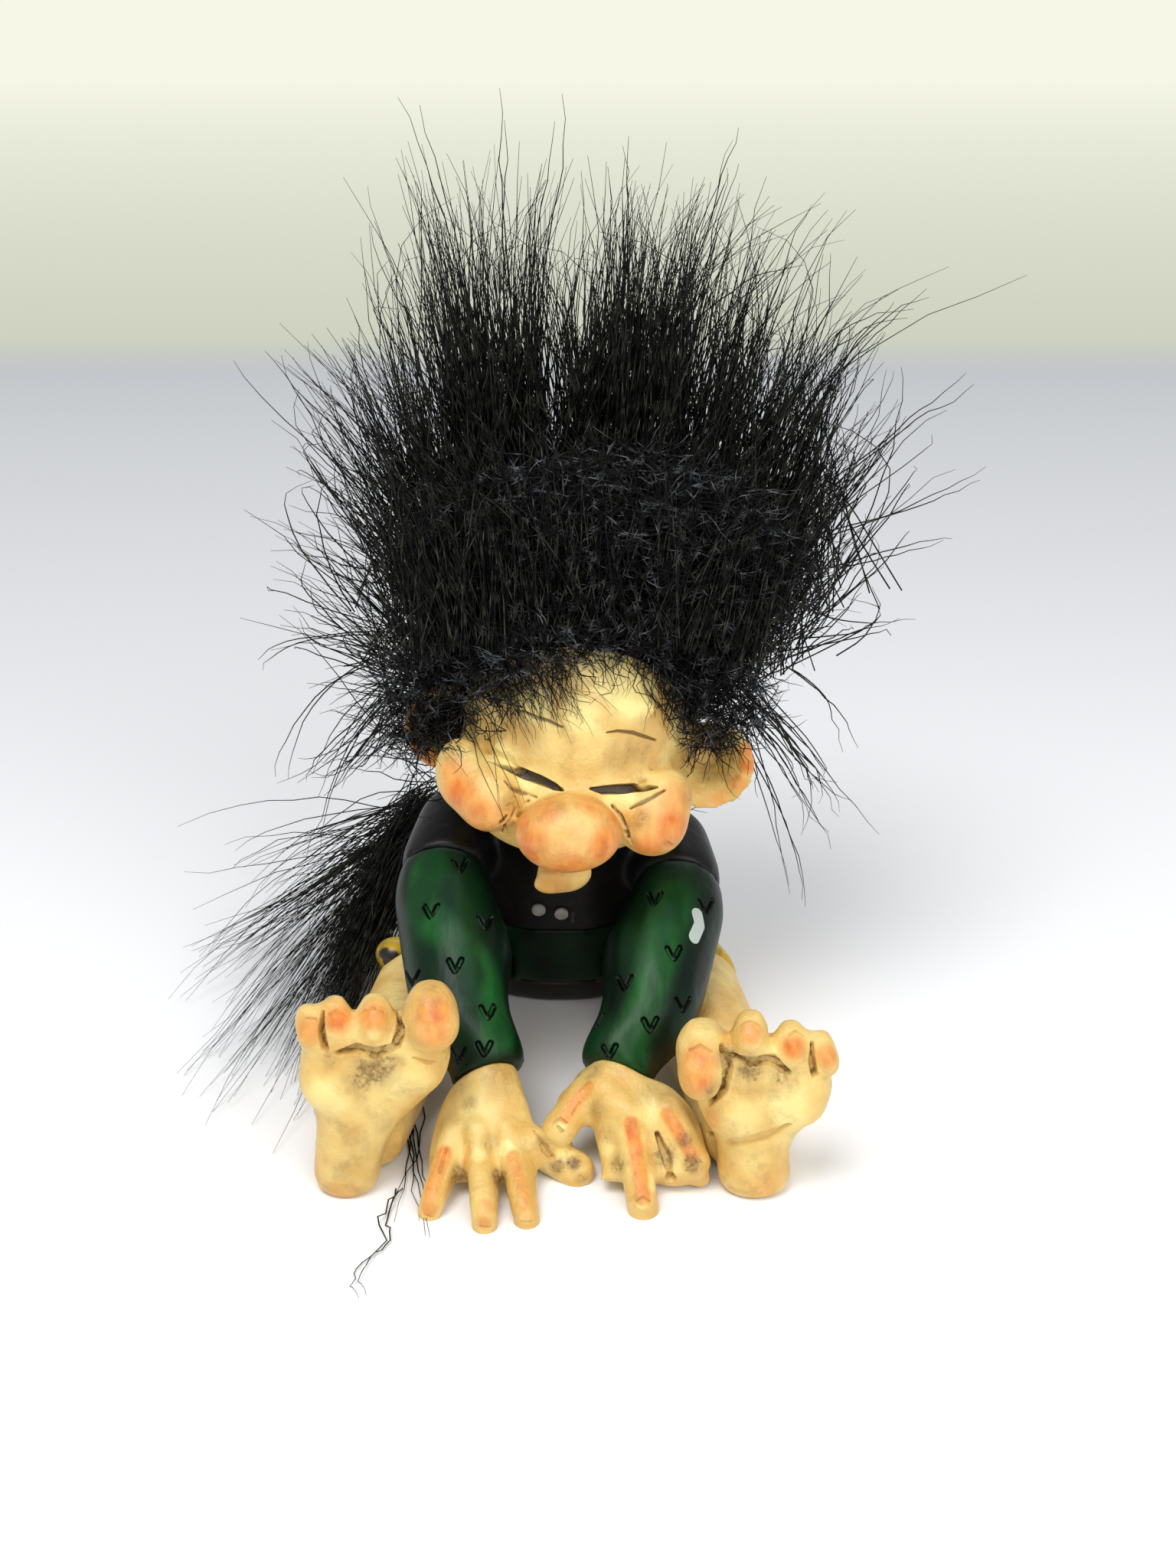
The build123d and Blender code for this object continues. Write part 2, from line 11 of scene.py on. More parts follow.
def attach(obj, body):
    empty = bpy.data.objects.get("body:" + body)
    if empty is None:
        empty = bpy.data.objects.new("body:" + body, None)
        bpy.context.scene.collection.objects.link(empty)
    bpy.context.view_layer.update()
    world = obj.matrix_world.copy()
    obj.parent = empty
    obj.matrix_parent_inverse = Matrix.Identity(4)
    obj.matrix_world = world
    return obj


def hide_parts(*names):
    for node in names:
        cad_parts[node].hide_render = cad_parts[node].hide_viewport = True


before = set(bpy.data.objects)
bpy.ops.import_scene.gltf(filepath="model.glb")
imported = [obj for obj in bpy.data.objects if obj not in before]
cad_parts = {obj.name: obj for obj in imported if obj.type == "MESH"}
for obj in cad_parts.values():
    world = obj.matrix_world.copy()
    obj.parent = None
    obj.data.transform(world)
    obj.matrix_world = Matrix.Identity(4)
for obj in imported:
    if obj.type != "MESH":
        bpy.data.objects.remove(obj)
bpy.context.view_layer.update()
mm = 0.001
scene = bpy.context.scene
scene.view_settings.view_transform = "Standard"
print("frame loaded")


def toLinear(hexCode):
    values = [int(hexCode[i:i + 2], 16) / 255 for i in (1, 3, 5)]
    return tuple(v / 12.92 if v <= 0.04045 else ((v + 0.055) / 1.055) ** 2.4 for v in values) + (1,)


# camera: where the photograph was taken from
cameraSettings = {
    "place": (3.0 * mm, -196.4 * mm, 112.6 * mm),
    "tilt": 65,          # degrees up from straight down
    "lens": 49.2,        # mm
    "film": 36,          # mm, the long side
    "nearest": 5 * mm,
    "focalPixels": 2800,
    "middle": (768, 1024),
}
cameraData = bpy.data.cameras.new("camera")
cameraData.lens = cameraSettings["lens"]
cameraData.sensor_width = cameraSettings["film"]
cameraData.clip_start = cameraSettings["nearest"]
camera = bpy.data.objects.new("camera", cameraData)
camera.location = cameraSettings["place"]
camera.rotation_euler = (math.radians(cameraSettings["tilt"]), 0, 0)
scene.collection.objects.link(camera)
scene.camera = camera
cameraTurn = Euler(camera.rotation_euler).to_matrix()


def pixelRay(px, py):
    middle, focal = cameraSettings["middle"], cameraSettings["focalPixels"]
    ray = cameraTurn @ Vector((px - middle[0], middle[1] - py, -focal))
    return Vector(cameraSettings["place"]), ray.normalized()


def pixelOnFloor(px, py, height):
    start, ray = pixelRay(px, py)
    return start + ray * ((height - start.z) / ray.z)


def pixelAtDepth(px, py, depth):
    start, ray = pixelRay(px, py)
    return start + ray * ((depth - start.y) / ray.y)


# shaping helpers
shapingSettings = {
    "mergeGap": 0.002,         # mm between corners that become one
    "keepFrom": 0.16,          # mm moved by the softer smoothing, where thin forms begin to be kept
    "keepAll": 0.42,
    "keepRounds": 8,
    "carveCore": 0.15,         # share of a mark's width that is at full strength
    "pathCore": 0.4,
    "dabCore": 0.25,
    "slitCore": 0.7,
    "slitEdge": 0.09,          # mm
    "faceReach": 1.1,          # mm round a line where the skin's faces are made smaller
    "lineReach": 0.8,
    "slitReach": 0.7,
    "strokeReach": 0.45,
    "headCreases": (24, 0.035, 0.22),   # rounds, then mm of hollow where the wash begins and where it is full
    "limbCreases": (18, 0.03, 0.22),
}


def smoothStep(values, low, high):
    share = np.clip((values - low) / (high - low), 0, 1)
    return share * share * (3 - 2 * share)


def readPoints(mesh):
    points = np.empty(len(mesh.vertices) * 3)
    mesh.vertices.foreach_get("co", points)
    return points.reshape(-1, 3)


def writePoints(mesh, points):
    mesh.vertices.foreach_set("co", np.ascontiguousarray(points).ravel())
    mesh.update()


def readNormals(mesh):
    normals = np.empty(len(mesh.vertices) * 3)
    mesh.vertex_normals.foreach_get("vector", normals)
    return normals.reshape(-1, 3)


def meanOfNeighbours(mesh, values, rounds):
    edges = np.empty(len(mesh.edges) * 2, dtype=np.int64)
    mesh.edges.foreach_get("vertices", edges)
    first, second = edges[0::2], edges[1::2]
    total = len(mesh.vertices)
    count = np.bincount(first, minlength=total) + np.bincount(second, minlength=total)
    count = np.maximum(count, 1)
    values = values.copy()
    for step in range(rounds):
        for column in range(values.shape[1]):
            one = values[:, column]
            summed = np.bincount(first, weights=one[second], minlength=total)
            summed += np.bincount(second, weights=one[first], minlength=total)
            values[:, column] = 0.5 * one + 0.5 * summed / count
    return values


def castCopy(nodeName, pieceName, voxel, rounds, swell, extras):
    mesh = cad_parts[nodeName].data.copy()
    mesh.materials.clear()
    work = bmesh.new()
    work.from_mesh(mesh)
    bmesh.ops.remove_doubles(work, verts=work.verts, dist=shapingSettings["mergeGap"] * mm)
    tree = BVHTree.FromBMesh(work)
    # small forms that melt into the casting: pixel, mm behind its surface, half sizes, turn in degrees
    for pixel, sink, half, turn in extras:
        start, ray = pixelRay(*pixel)
        place, normal, face, gap = tree.ray_cast(start, ray)
        if place is None:
            print("no casting at", nodeName, pixel)
            continue
        spin = cameraTurn.to_4x4() @ Matrix.Rotation(math.radians(turn), 4, "Z")
        ball = Matrix.Diagonal([h * mm for h in half] + [1])
        shape = Matrix.Translation(place + ray * sink * mm) @ spin @ ball
        bmesh.ops.create_icosphere(work, subdivisions=3, radius=1, matrix=shape)
    work.to_mesh(mesh)
    work.free()
    piece = bpy.data.objects.new(pieceName, mesh)
    scene.collection.objects.link(piece)
    skin = piece.modifiers.new("castSkin", "REMESH")
    skin.mode = "VOXEL"
    skin.voxel_size = voxel * mm
    skin.use_smooth_shade = True
    shown = piece.evaluated_get(bpy.context.evaluated_depsgraph_get())
    piece.data = bpy.data.meshes.new_from_object(shown)
    piece.modifiers.clear()
    piece.data.name = pieceName
    sharp = meanOfNeighbours(piece.data, readPoints(piece.data), rounds[0])
    soft = meanOfNeighbours(piece.data, sharp, rounds[1])
    moved = np.linalg.norm(soft - sharp, axis=1)   # broad forms lose their facets, thin ones keep their shape
    thin = smoothStep(moved, shapingSettings["keepFrom"] * mm, shapingSettings["keepAll"] * mm)
    keep = meanOfNeighbours(piece.data, thin[:, None], shapingSettings["keepRounds"])
    writePoints(piece.data, soft * (1 - keep) + sharp * keep)
    points = readPoints(piece.data) + readNormals(piece.data) * swell * mm
    points[:, 2] = np.maximum(points[:, 2], 0)   # nothing sinks into the floor
    writePoints(piece.data, points)
    return piece


def treeOf(piece):
    mesh = piece.data
    return BVHTree.FromPolygons([v.co for v in mesh.vertices], [p.vertices for p in mesh.polygons])


def distanceToPath(points, path):
    best = np.full(len(points), np.inf)
    for start, end in zip(path, path[1:]):
        start, end = np.array(start), np.array(end)
        line = end - start
        along = np.clip(((points - start) @ line) / max(line @ line, 1e-18), 0, 1)
        gap = np.linalg.norm(points - start - along[:, None] * line, axis=1)
        best = np.minimum(best, gap)
    return best


def refine(piece, paths, reach):
    points = readPoints(piece.data)
    near = np.zeros(len(points), dtype=bool)
    for path in paths:
        near |= distanceToPath(points, path) < reach * mm
    work = bmesh.new()
    work.from_mesh(piece.data)
    work.verts.ensure_lookup_table()
    edges = [e for e in work.edges if near[e.verts[0].index] and near[e.verts[1].index]]
    bmesh.ops.subdivide_edges(work, edges=edges, cuts=1, use_grid_fill=True)
    for face in work.faces:
        face.smooth = True
    work.to_mesh(piece.data)
    work.free()


def pathOnPiece(tree, pixels):
    path = []
    for px, py in pixels:
        start, ray = pixelRay(px, py)
        place, normal, index, gap = tree.ray_cast(start, ray)
        if place is not None:
            path.append(tuple(place))
    return path


def carve(piece, path, width, depth):
    points, normals = readPoints(piece.data), readNormals(piece.data)
    core = shapingSettings["carveCore"]
    strength = 1 - smoothStep(distanceToPath(points, path), core * width * mm, width * mm)
    writePoints(piece.data, points - normals * (strength * depth * mm)[:, None])


def paintLayer(piece, name):
    layer = piece.data.attributes.get(name)
    return layer or piece.data.attributes.new(name, "FLOAT", "POINT")


def readPaint(piece, name):
    values = np.empty(len(piece.data.vertices))
    paintLayer(piece, name).data.foreach_get("value", values)
    return values


def writePaint(piece, name, values):
    paintLayer(piece, name).data.foreach_set("value", np.clip(values, 0, 1))


def paintPath(piece, name, path, width, strength):
    points = readPoints(piece.data)
    core = shapingSettings["pathCore"]
    fresh = strength * (1 - smoothStep(distanceToPath(points, path), core * width * mm, width * mm))
    writePaint(piece, name, np.maximum(readPaint(piece, name), fresh))


def washCreases(piece, rounds, low, high):
    points = readPoints(piece.data)
    settled = meanOfNeighbours(piece.data, points, rounds)
    hollow = np.einsum("ij,ij->i", settled - points, readNormals(piece.data))
    writePaint(piece, "wash", np.maximum(readPaint(piece, "wash"), smoothStep(hollow, low * mm, high * mm)))


# materials
def newMaterial(name):
    material = bpy.data.materials.new(name)
    material.use_nodes = True
    material.node_tree.nodes.clear()
    return material, material.node_tree


# a link's source is a socket, or a node whose first output is meant
def addNode(tree, kind, settings={}, links={}):
    node = tree.nodes.new(kind)
    for key, value in settings.items():
        if isinstance(key, str) and hasattr(node, key):
            setattr(node, key, value)
        else:
            node.inputs[key].default_value = value
    for socket, source in links.items():
        output = source if isinstance(source, bpy.types.NodeSocket) else source.outputs[0]
        tree.links.new(output, node.inputs[socket])
    return node


# cast resin, hand painted golden cream with an orange blush, and a brown wash rubbed into creases and pits:
# a satin skin that shows soft broad highlights, with paler cream painted on as highlights over brow, nose,
# cheeks, hands and feet
skinSettings = {
    "cream": "#E6BA66",
    # the paler cream: lighter patches in the paint, and the painted highlights
    "paleCreamAndHighlight": "#FFE896",
    "blush": "#F2963A",
    "deepBlush": "#DC6F26",
    "wash": "#6B4C25",
    "smudge": "#9C7C48",
    "slit": "#24150C",
    "patchMm": 3.6,      # patches where the cream was rubbed thinner
    "streakMm": 0.9,     # brush streaks, drawn coarser than real bristles
    "pitMm": 0.38,       # pits in the casting
    "rubMm": 2.4,        # clouds of wash left on the open skin
    # sums of noises and layers: 1 is a factor, 2 is what is added
    "creamShare": {"operation": "MULTIPLY_ADD", 1: 0.6},
    "blushBreak": {"operation": "MULTIPLY_ADD", 1: 0.45, 2: 0.6},
    "rubShare": {"operation": "MULTIPLY", 1: 0.46},
    "smudgeBreak": {"operation": "MULTIPLY_ADD", 1: 0.5, 2: 0.4},
    "pitDepth": {"operation": "MULTIPLY_ADD", 1: -1.3, 2: 0.62},
    "dentHeight": {"operation": "MULTIPLY_ADD", 1: 2.2},
}
skinPaint, tree = newMaterial("paintedResinSkin")
place = addNode(tree, "ShaderNodeTexCoord").outputs["Object"]
patchNoise = addNode(
    tree, "ShaderNodeTexNoise", {"Scale": 1 / (skinSettings["patchMm"] * mm), "Detail": 3}, {"Vector": place})
patches = addNode(tree, "ShaderNodeMapRange", {"From Min": 0.38, "From Max": 0.62}, {"Value": patchNoise})
streakPlace = addNode(tree, "ShaderNodeMapping", {"Scale": (1, 1, 0.3)}, {"Vector": place})
streakNoise = addNode(
    tree, "ShaderNodeTexNoise", {"Scale": 1 / (skinSettings["streakMm"] * mm), "Detail": 4},
    {"Vector": streakPlace})
streaks = addNode(tree, "ShaderNodeMapRange", {"From Min": 0.38, "From Max": 0.66}, {"Value": streakNoise})
pits = addNode(
    tree, "ShaderNodeTexNoise", {"Scale": 1 / (skinSettings["pitMm"] * mm), "Detail": 2}, {"Vector": place})
rubNoise = addNode(
    tree, "ShaderNodeTexNoise", {"Scale": 1 / (skinSettings["rubMm"] * mm), "Detail": 5, "Roughness": 0.65},
    {"Vector": place})
rubs = addNode(tree, "ShaderNodeMapRange", {"From Min": 0.54, "From Max": 0.74}, {"Value": rubNoise})
blushLayer = addNode(tree, "ShaderNodeAttribute", {"attribute_name": "blush"}).outputs["Fac"]
washLayer = addNode(tree, "ShaderNodeAttribute", {"attribute_name": "wash"}).outputs["Fac"]
slitLayer = addNode(tree, "ShaderNodeAttribute", {"attribute_name": "slit"}).outputs["Fac"]
# pale: where highlights are painted onto the skin, in the paler cream
skinHighlightLayer = addNode(tree, "ShaderNodeAttribute", {"attribute_name": "pale"}).outputs["Fac"]
creamShare = addNode(tree, "ShaderNodeMath", skinSettings["creamShare"], {0: patches, 2: skinHighlightLayer})
cream = addNode(
    tree, "ShaderNodeMix",
    {"data_type": "RGBA", 6: toLinear(skinSettings["cream"]), 7: toLinear(skinSettings["paleCreamAndHighlight"])},
    {0: creamShare})
orange = addNode(
    tree, "ShaderNodeMix",
    {"data_type": "RGBA", 6: toLinear(skinSettings["blush"]), 7: toLinear(skinSettings["deepBlush"])},
    {0: streaks})
blushBreak = addNode(tree, "ShaderNodeMath", skinSettings["blushBreak"], {0: patches})
blushShare = addNode(tree, "ShaderNodeMath", {"operation": "MULTIPLY"}, {0: blushLayer, 1: blushBreak})
blushed = addNode(
    tree, "ShaderNodeMix", {"data_type": "RGBA"}, {0: blushShare, 6: cream.outputs[2], 7: orange.outputs[2]})
rubShare = addNode(tree, "ShaderNodeMath", skinSettings["rubShare"], {0: rubs})
rubbed = addNode(
    tree, "ShaderNodeMix", {"data_type": "RGBA", 7: toLinear(skinSettings["smudge"])},
    {0: rubShare, 6: blushed.outputs[2]})
smudgeBreak = addNode(tree, "ShaderNodeMath", skinSettings["smudgeBreak"], {0: streaks})
smudgeShare = addNode(
    tree, "ShaderNodeMath", {"operation": "MULTIPLY", "use_clamp": True}, {0: washLayer, 1: smudgeBreak})
smudged = addNode(
    tree, "ShaderNodeMix", {"data_type": "RGBA", 7: toLinear(skinSettings["smudge"])},
    {0: smudgeShare, 6: rubbed.outputs[2]})
pitDepth = addNode(tree, "ShaderNodeMath", skinSettings["pitDepth"], {0: pits})
pitWash = addNode(tree, "ShaderNodeMath", {"operation": "ADD"}, {0: washLayer, 1: pitDepth})
pitShare = addNode(tree, "ShaderNodeMapRange", {"From Min": 0.5, "From Max": 1.15}, {"Value": pitWash})
washed = addNode(
    tree, "ShaderNodeMix", {"data_type": "RGBA", 7: toLinear(skinSettings["wash"])},
    {0: pitShare, 6: smudged.outputs[2]})
skinColour = addNode(
    tree, "ShaderNodeMix", {"data_type": "RGBA", 7: toLinear(skinSettings["slit"])},
    {0: slitLayer, 6: washed.outputs[2]})
dentHeight = addNode(tree, "ShaderNodeMath", skinSettings["dentHeight"], {0: rubNoise, 2: pits})
skinBump = addNode(tree, "ShaderNodeBump", {"Strength": 0.55, "Distance": 0.16 * mm}, {"Height": dentHeight})
shader = addNode(
    tree, "ShaderNodeBsdfPrincipled",
    {"Roughness": 0.42, "IOR": 1.48, "Coat Weight": 0.12, "Coat Roughness": 0.3},
    {"Base Color": skinColour.outputs[2], "Normal": skinBump})
addNode(tree, "ShaderNodeOutputMaterial", {}, {"Surface": shader})

# the same resin in a thin glossy green over near-black: wet-looking, with a slate-blue sheen and brighter
# green highlights painted on in strokes
greenSettings = {
    "dark": "#03160B",
    "green": "#0A3519",
    # the brighter green is painted highlight, and the slate is painted sheen
    "bright": "#1C6127",
    "slateSheen": "#2F5344",
    "mark": "#010302",
    "chip": "#BFCAC2",
    "streakMm": 2.6,
    "cloudMm": 6.0,
    # sums of noises and layers: 1 is a factor, 2 is what is added
    "greenHighlightBreak": {"operation": "MULTIPLY_ADD", 1: 0.7, 2: 0.3},
    "sheenBreak": {"operation": "MULTIPLY_ADD", 1: 0.5, 2: 0.4},
}
greenPaint, tree = newMaterial("paintedResinGreen")
place = addNode(tree, "ShaderNodeTexCoord").outputs["Object"]
cloudPlace = addNode(tree, "ShaderNodeMapping", {"Scale": (1, 0.5, 0.6)}, {"Vector": place})
cloudNoise = addNode(
    tree, "ShaderNodeTexNoise", {"Scale": 1 / (greenSettings["cloudMm"] * mm), "Detail": 3},
    {"Vector": cloudPlace})
clouds = addNode(tree, "ShaderNodeMapRange", {"From Min": 0.42, "From Max": 0.66}, {"Value": cloudNoise})
brushPlace = addNode(tree, "ShaderNodeMapping", {"Scale": (1, 0.4, 0.35)}, {"Vector": place})
brushNoise = addNode(
    tree, "ShaderNodeTexNoise", {"Scale": 1 / (greenSettings["streakMm"] * mm), "Detail": 4},
    {"Vector": brushPlace})
brush = addNode(tree, "ShaderNodeMapRange", {"From Min": 0.42, "From Max": 0.66}, {"Value": brushNoise})
# sheen and bright: where painted sheen and painted highlights lie, broken by clouds and brush streaks
sheenLayer = addNode(tree, "ShaderNodeAttribute", {"attribute_name": "sheen"}).outputs["Fac"]
greenHighlightLayer = addNode(tree, "ShaderNodeAttribute", {"attribute_name": "bright"}).outputs["Fac"]
markLayer = addNode(tree, "ShaderNodeAttribute", {"attribute_name": "wash"}).outputs["Fac"]
chipLayer = addNode(tree, "ShaderNodeAttribute", {"attribute_name": "chip"}).outputs["Fac"]
darkGreen = addNode(
    tree, "ShaderNodeMix",
    {"data_type": "RGBA", 6: toLinear(greenSettings["dark"]), 7: toLinear(greenSettings["green"])},
    {0: clouds})
greenHighlightBreak = addNode(tree, "ShaderNodeMath", greenSettings["greenHighlightBreak"], {0: brush})
greenHighlightShare = addNode(tree, "ShaderNodeMath", {"operation": "MULTIPLY"}, {0: greenHighlightLayer, 1: greenHighlightBreak})
highlightedGreen = addNode(
    tree, "ShaderNodeMix", {"data_type": "RGBA", 7: toLinear(greenSettings["bright"])},
    {0: greenHighlightShare, 6: darkGreen.outputs[2]})
sheenBreak = addNode(tree, "ShaderNodeMath", greenSettings["sheenBreak"], {0: clouds})
sheenShare = addNode(tree, "ShaderNodeMath", {"operation": "MULTIPLY"}, {0: sheenLayer, 1: sheenBreak})
sheenedGreen = addNode(
    tree, "ShaderNodeMix", {"data_type": "RGBA", 7: toLinear(greenSettings["slateSheen"])},
    {0: sheenShare, 6: highlightedGreen.outputs[2]})
markShare = addNode(tree, "ShaderNodeMapRange", {"From Min": 0.2, "From Max": 0.6}, {"Value": markLayer})
marked = addNode(
    tree, "ShaderNodeMix", {"data_type": "RGBA", 7: toLinear(greenSettings["mark"])},
    {0: markShare, 6: sheenedGreen.outputs[2]})
chipShare = addNode(tree, "ShaderNodeMapRange", {"From Min": 0.45, "From Max": 0.55}, {"Value": chipLayer})
greenColour = addNode(
    tree, "ShaderNodeMix", {"data_type": "RGBA", 7: toLinear(greenSettings["chip"])},
    {0: chipShare, 6: marked.outputs[2]})
greenBump = addNode(tree, "ShaderNodeBump", {"Strength": 0.3, "Distance": 0.2 * mm}, {"Height": brush})
shader = addNode(
    tree, "ShaderNodeBsdfPrincipled",
    {"Roughness": 0.4, "IOR": 1.4, "Specular IOR Level": 0.32, "Coat Weight": 0.03, "Coat Roughness": 0.2},
    {"Base Color": greenColour.outputs[2], "Normal": greenBump})
addNode(tree, "ShaderNodeOutputMaterial", {}, {"Surface": shader})

# satin black over the same resin: grey only where light grazes it, and along a pale line painted at its hem
blackSettings = {
    "black": "#030305", "worn": "#131318", "edge": "#77776F", "cloudMm": 2.2,
    # sums of noises and layers: 1 is a factor, 2 is what is added
    "edgeBreak": {"operation": "MULTIPLY_ADD", 1: 0.6, 2: 0.35},
}
blackPaint, tree = newMaterial("paintedResinBlack")
place = addNode(tree, "ShaderNodeTexCoord").outputs["Object"]
cloudNoise = addNode(
    tree, "ShaderNodeTexNoise", {"Scale": 1 / (blackSettings["cloudMm"] * mm), "Detail": 4},
    {"Vector": place})
clouds = addNode(tree, "ShaderNodeMapRange", {"From Min": 0.48, "From Max": 0.72}, {"Value": cloudNoise})
edgeLayer = addNode(tree, "ShaderNodeAttribute", {"attribute_name": "edge"}).outputs["Fac"]
wornBlack = addNode(
    tree, "ShaderNodeMix",
    {"data_type": "RGBA", 6: toLinear(blackSettings["black"]), 7: toLinear(blackSettings["worn"])},
    {0: clouds})
edgeBreak = addNode(tree, "ShaderNodeMath", blackSettings["edgeBreak"], {0: clouds})
edgeShare = addNode(tree, "ShaderNodeMath", {"operation": "MULTIPLY"}, {0: edgeLayer, 1: edgeBreak})
blackColour = addNode(
    tree, "ShaderNodeMix", {"data_type": "RGBA", 7: toLinear(blackSettings["edge"])},
    {0: edgeShare, 6: wornBlack.outputs[2]})
blackBump = addNode(tree, "ShaderNodeBump", {"Strength": 0.25, "Distance": 0.2 * mm}, {"Height": clouds})
shader = addNode(
    tree, "ShaderNodeBsdfPrincipled",
    {"Roughness": 0.45, "IOR": 1.4, "Coat Weight": 0.06, "Coat Roughness": 0.25},
    {"Base Color": blackColour.outputs[2], "Normal": blackBump})
addNode(tree, "ShaderNodeOutputMaterial", {}, {"Surface": shader})

# satin yellow with a brown stain brushed over the hems, and the same dark brown painted as shade between the
# legs
yellowSettings = {
    # stain: the brown of the hem patches, and painted shade between the legs
    "yellow": "#D2AF0C", "deepYellow": "#9A7905", "stainAndShade": "#20170B", "cloudMm": 2.0,
    # sums of noises and layers: 1 is a factor, 2 is what is added
    "stainAndShadeBreak": {"operation": "MULTIPLY_ADD", 1: 0.5, 2: -0.2},
}
yellowPaint, tree = newMaterial("paintedResinYellow")
place = addNode(tree, "ShaderNodeTexCoord").outputs["Object"]
cloudNoise = addNode(
    tree, "ShaderNodeTexNoise", {"Scale": 1 / (yellowSettings["cloudMm"] * mm), "Detail": 4},
    {"Vector": place})
clouds = addNode(tree, "ShaderNodeMapRange", {"From Min": 0.4, "From Max": 0.68}, {"Value": cloudNoise})
# wash: the brown hem patches, and the painted shade between the legs
stainAndShadeLayer = addNode(tree, "ShaderNodeAttribute", {"attribute_name": "wash"}).outputs["Fac"]
yellows = addNode(
    tree, "ShaderNodeMix",
    {"data_type": "RGBA", 6: toLinear(yellowSettings["yellow"]), 7: toLinear(yellowSettings["deepYellow"])},
    {0: clouds})
stainAndShadeBreak = addNode(tree, "ShaderNodeMath", yellowSettings["stainAndShadeBreak"], {0: clouds})
stainAndShadeDepth = addNode(tree, "ShaderNodeMath", {"operation": "ADD"}, {0: stainAndShadeLayer, 1: stainAndShadeBreak})
stainAndShadeShare = addNode(tree, "ShaderNodeMapRange", {"From Min": 0.3, "From Max": 0.65}, {"Value": stainAndShadeDepth})
yellowColour = addNode(
    tree, "ShaderNodeMix", {"data_type": "RGBA", 7: toLinear(yellowSettings["stainAndShade"])},
    {0: stainAndShadeShare, 6: yellows.outputs[2]})
yellowBump = addNode(tree, "ShaderNodeBump", {"Strength": 0.25, "Distance": 0.15 * mm}, {"Height": clouds})
shader = addNode(
    tree, "ShaderNodeBsdfPrincipled",
    {"Roughness": 0.38, "IOR": 1.5, "Coat Weight": 0.15, "Coat Roughness": 0.2},
    {"Base Color": yellowColour.outputs[2], "Normal": yellowBump})
addNode(tree, "ShaderNodeOutputMaterial", {}, {"Surface": shader})

# dabs of light grey enamel for the buttons
buttonSettings = {"grey": "#BDBBB8", "dull": "#8F8D8A", "cloudMm": 0.7}
buttonPaint, tree = newMaterial("enamelGrey")
place = addNode(tree, "ShaderNodeTexCoord").outputs["Object"]
cloudNoise = addNode(
    tree, "ShaderNodeTexNoise", {"Scale": 1 / (buttonSettings["cloudMm"] * mm), "Detail": 3},
    {"Vector": place})
clouds = addNode(tree, "ShaderNodeMapRange", {"From Min": 0.35, "From Max": 0.8}, {"Value": cloudNoise})
greys = addNode(
    tree, "ShaderNodeMix",
    {"data_type": "RGBA", 6: toLinear(buttonSettings["grey"]), 7: toLinear(buttonSettings["dull"])},
    {0: clouds})
shader = addNode(
    tree, "ShaderNodeBsdfPrincipled", {"Roughness": 0.36, "IOR": 1.5}, {"Base Color": greys.outputs[2]})
addNode(tree, "ShaderNodeOutputMaterial", {}, {"Surface": shader})

# bare cast resin, matt and slightly speckled, on the pegs nobody sees
resinSettings = {"resin": "#D8CDB6", "speck": "#B9AC92", "speckMm": 0.6}
bareResin, tree = newMaterial("bareResin")
place = addNode(tree, "ShaderNodeTexCoord").outputs["Object"]
speckNoise = addNode(
    tree, "ShaderNodeTexNoise", {"Scale": 1 / (resinSettings["speckMm"] * mm), "Detail": 2},
    {"Vector": place})
specks = addNode(tree, "ShaderNodeMapRange", {"From Min": 0.4, "From Max": 0.7}, {"Value": speckNoise})
resins = addNode(
    tree, "ShaderNodeMix",
    {"data_type": "RGBA", 6: toLinear(resinSettings["resin"]), 7: toLinear(resinSettings["speck"])},
    {0: specks})
shader = addNode(
    tree, "ShaderNodeBsdfPrincipled", {"Roughness": 0.6, "IOR": 1.5}, {"Base Color": resins.outputs[2]})
addNode(tree, "ShaderNodeOutputMaterial", {}, {"Surface": shader})

# dyed animal fur, dry: near black, with grey glints painted along the hairs in patches as highlights
furPaints = {}
glintMm = 1.3   # length of a glint
furSettings = {
    # grey: glints painted on as highlights
    "dyedFurLongGlinting": {"black": "#040404", "grey": "#3A3B31", "low": 0.48, "high": 0.68, "specular": 0.14},
    "dyedFurShortGlinting": {"black": "#040404", "grey": "#62656A", "low": 0.535, "high": 0.67, "specular": 0.22},
    # the thick: a matt near-black without shine, painted as the deep shade inside the fur
    "furThickShade": {"black": "#020202", "grey": "#070707", "low": 0.4, "high": 0.7, "specular": 0.0},
}
for name, settings in furSettings.items():
    furPaints[name], tree = newMaterial(name)
    place = addNode(tree, "ShaderNodeTexCoord").outputs["Object"]
    glintNoise = addNode(
        tree, "ShaderNodeTexNoise", {"Scale": 1 / (glintMm * mm), "Detail": 2}, {"Vector": place})
    glintShares = addNode(
        tree, "ShaderNodeMapRange", {"From Min": settings["low"], "From Max": settings["high"]},
        {"Value": glintNoise})
    hairColour = addNode(
        tree, "ShaderNodeMix",
        {"data_type": "RGBA", 6: toLinear(settings["black"]), 7: toLinear(settings["grey"])}, {0: glintShares})
    shader = addNode(
        tree, "ShaderNodeBsdfPrincipled",
        {"Roughness": 0.45, "IOR": 1.55, "Specular IOR Level": settings["specular"]},
        {"Base Color": hairColour.outputs[2]})
    addNode(tree, "ShaderNodeOutputMaterial", {}, {"Surface": shader})
print("materials made")


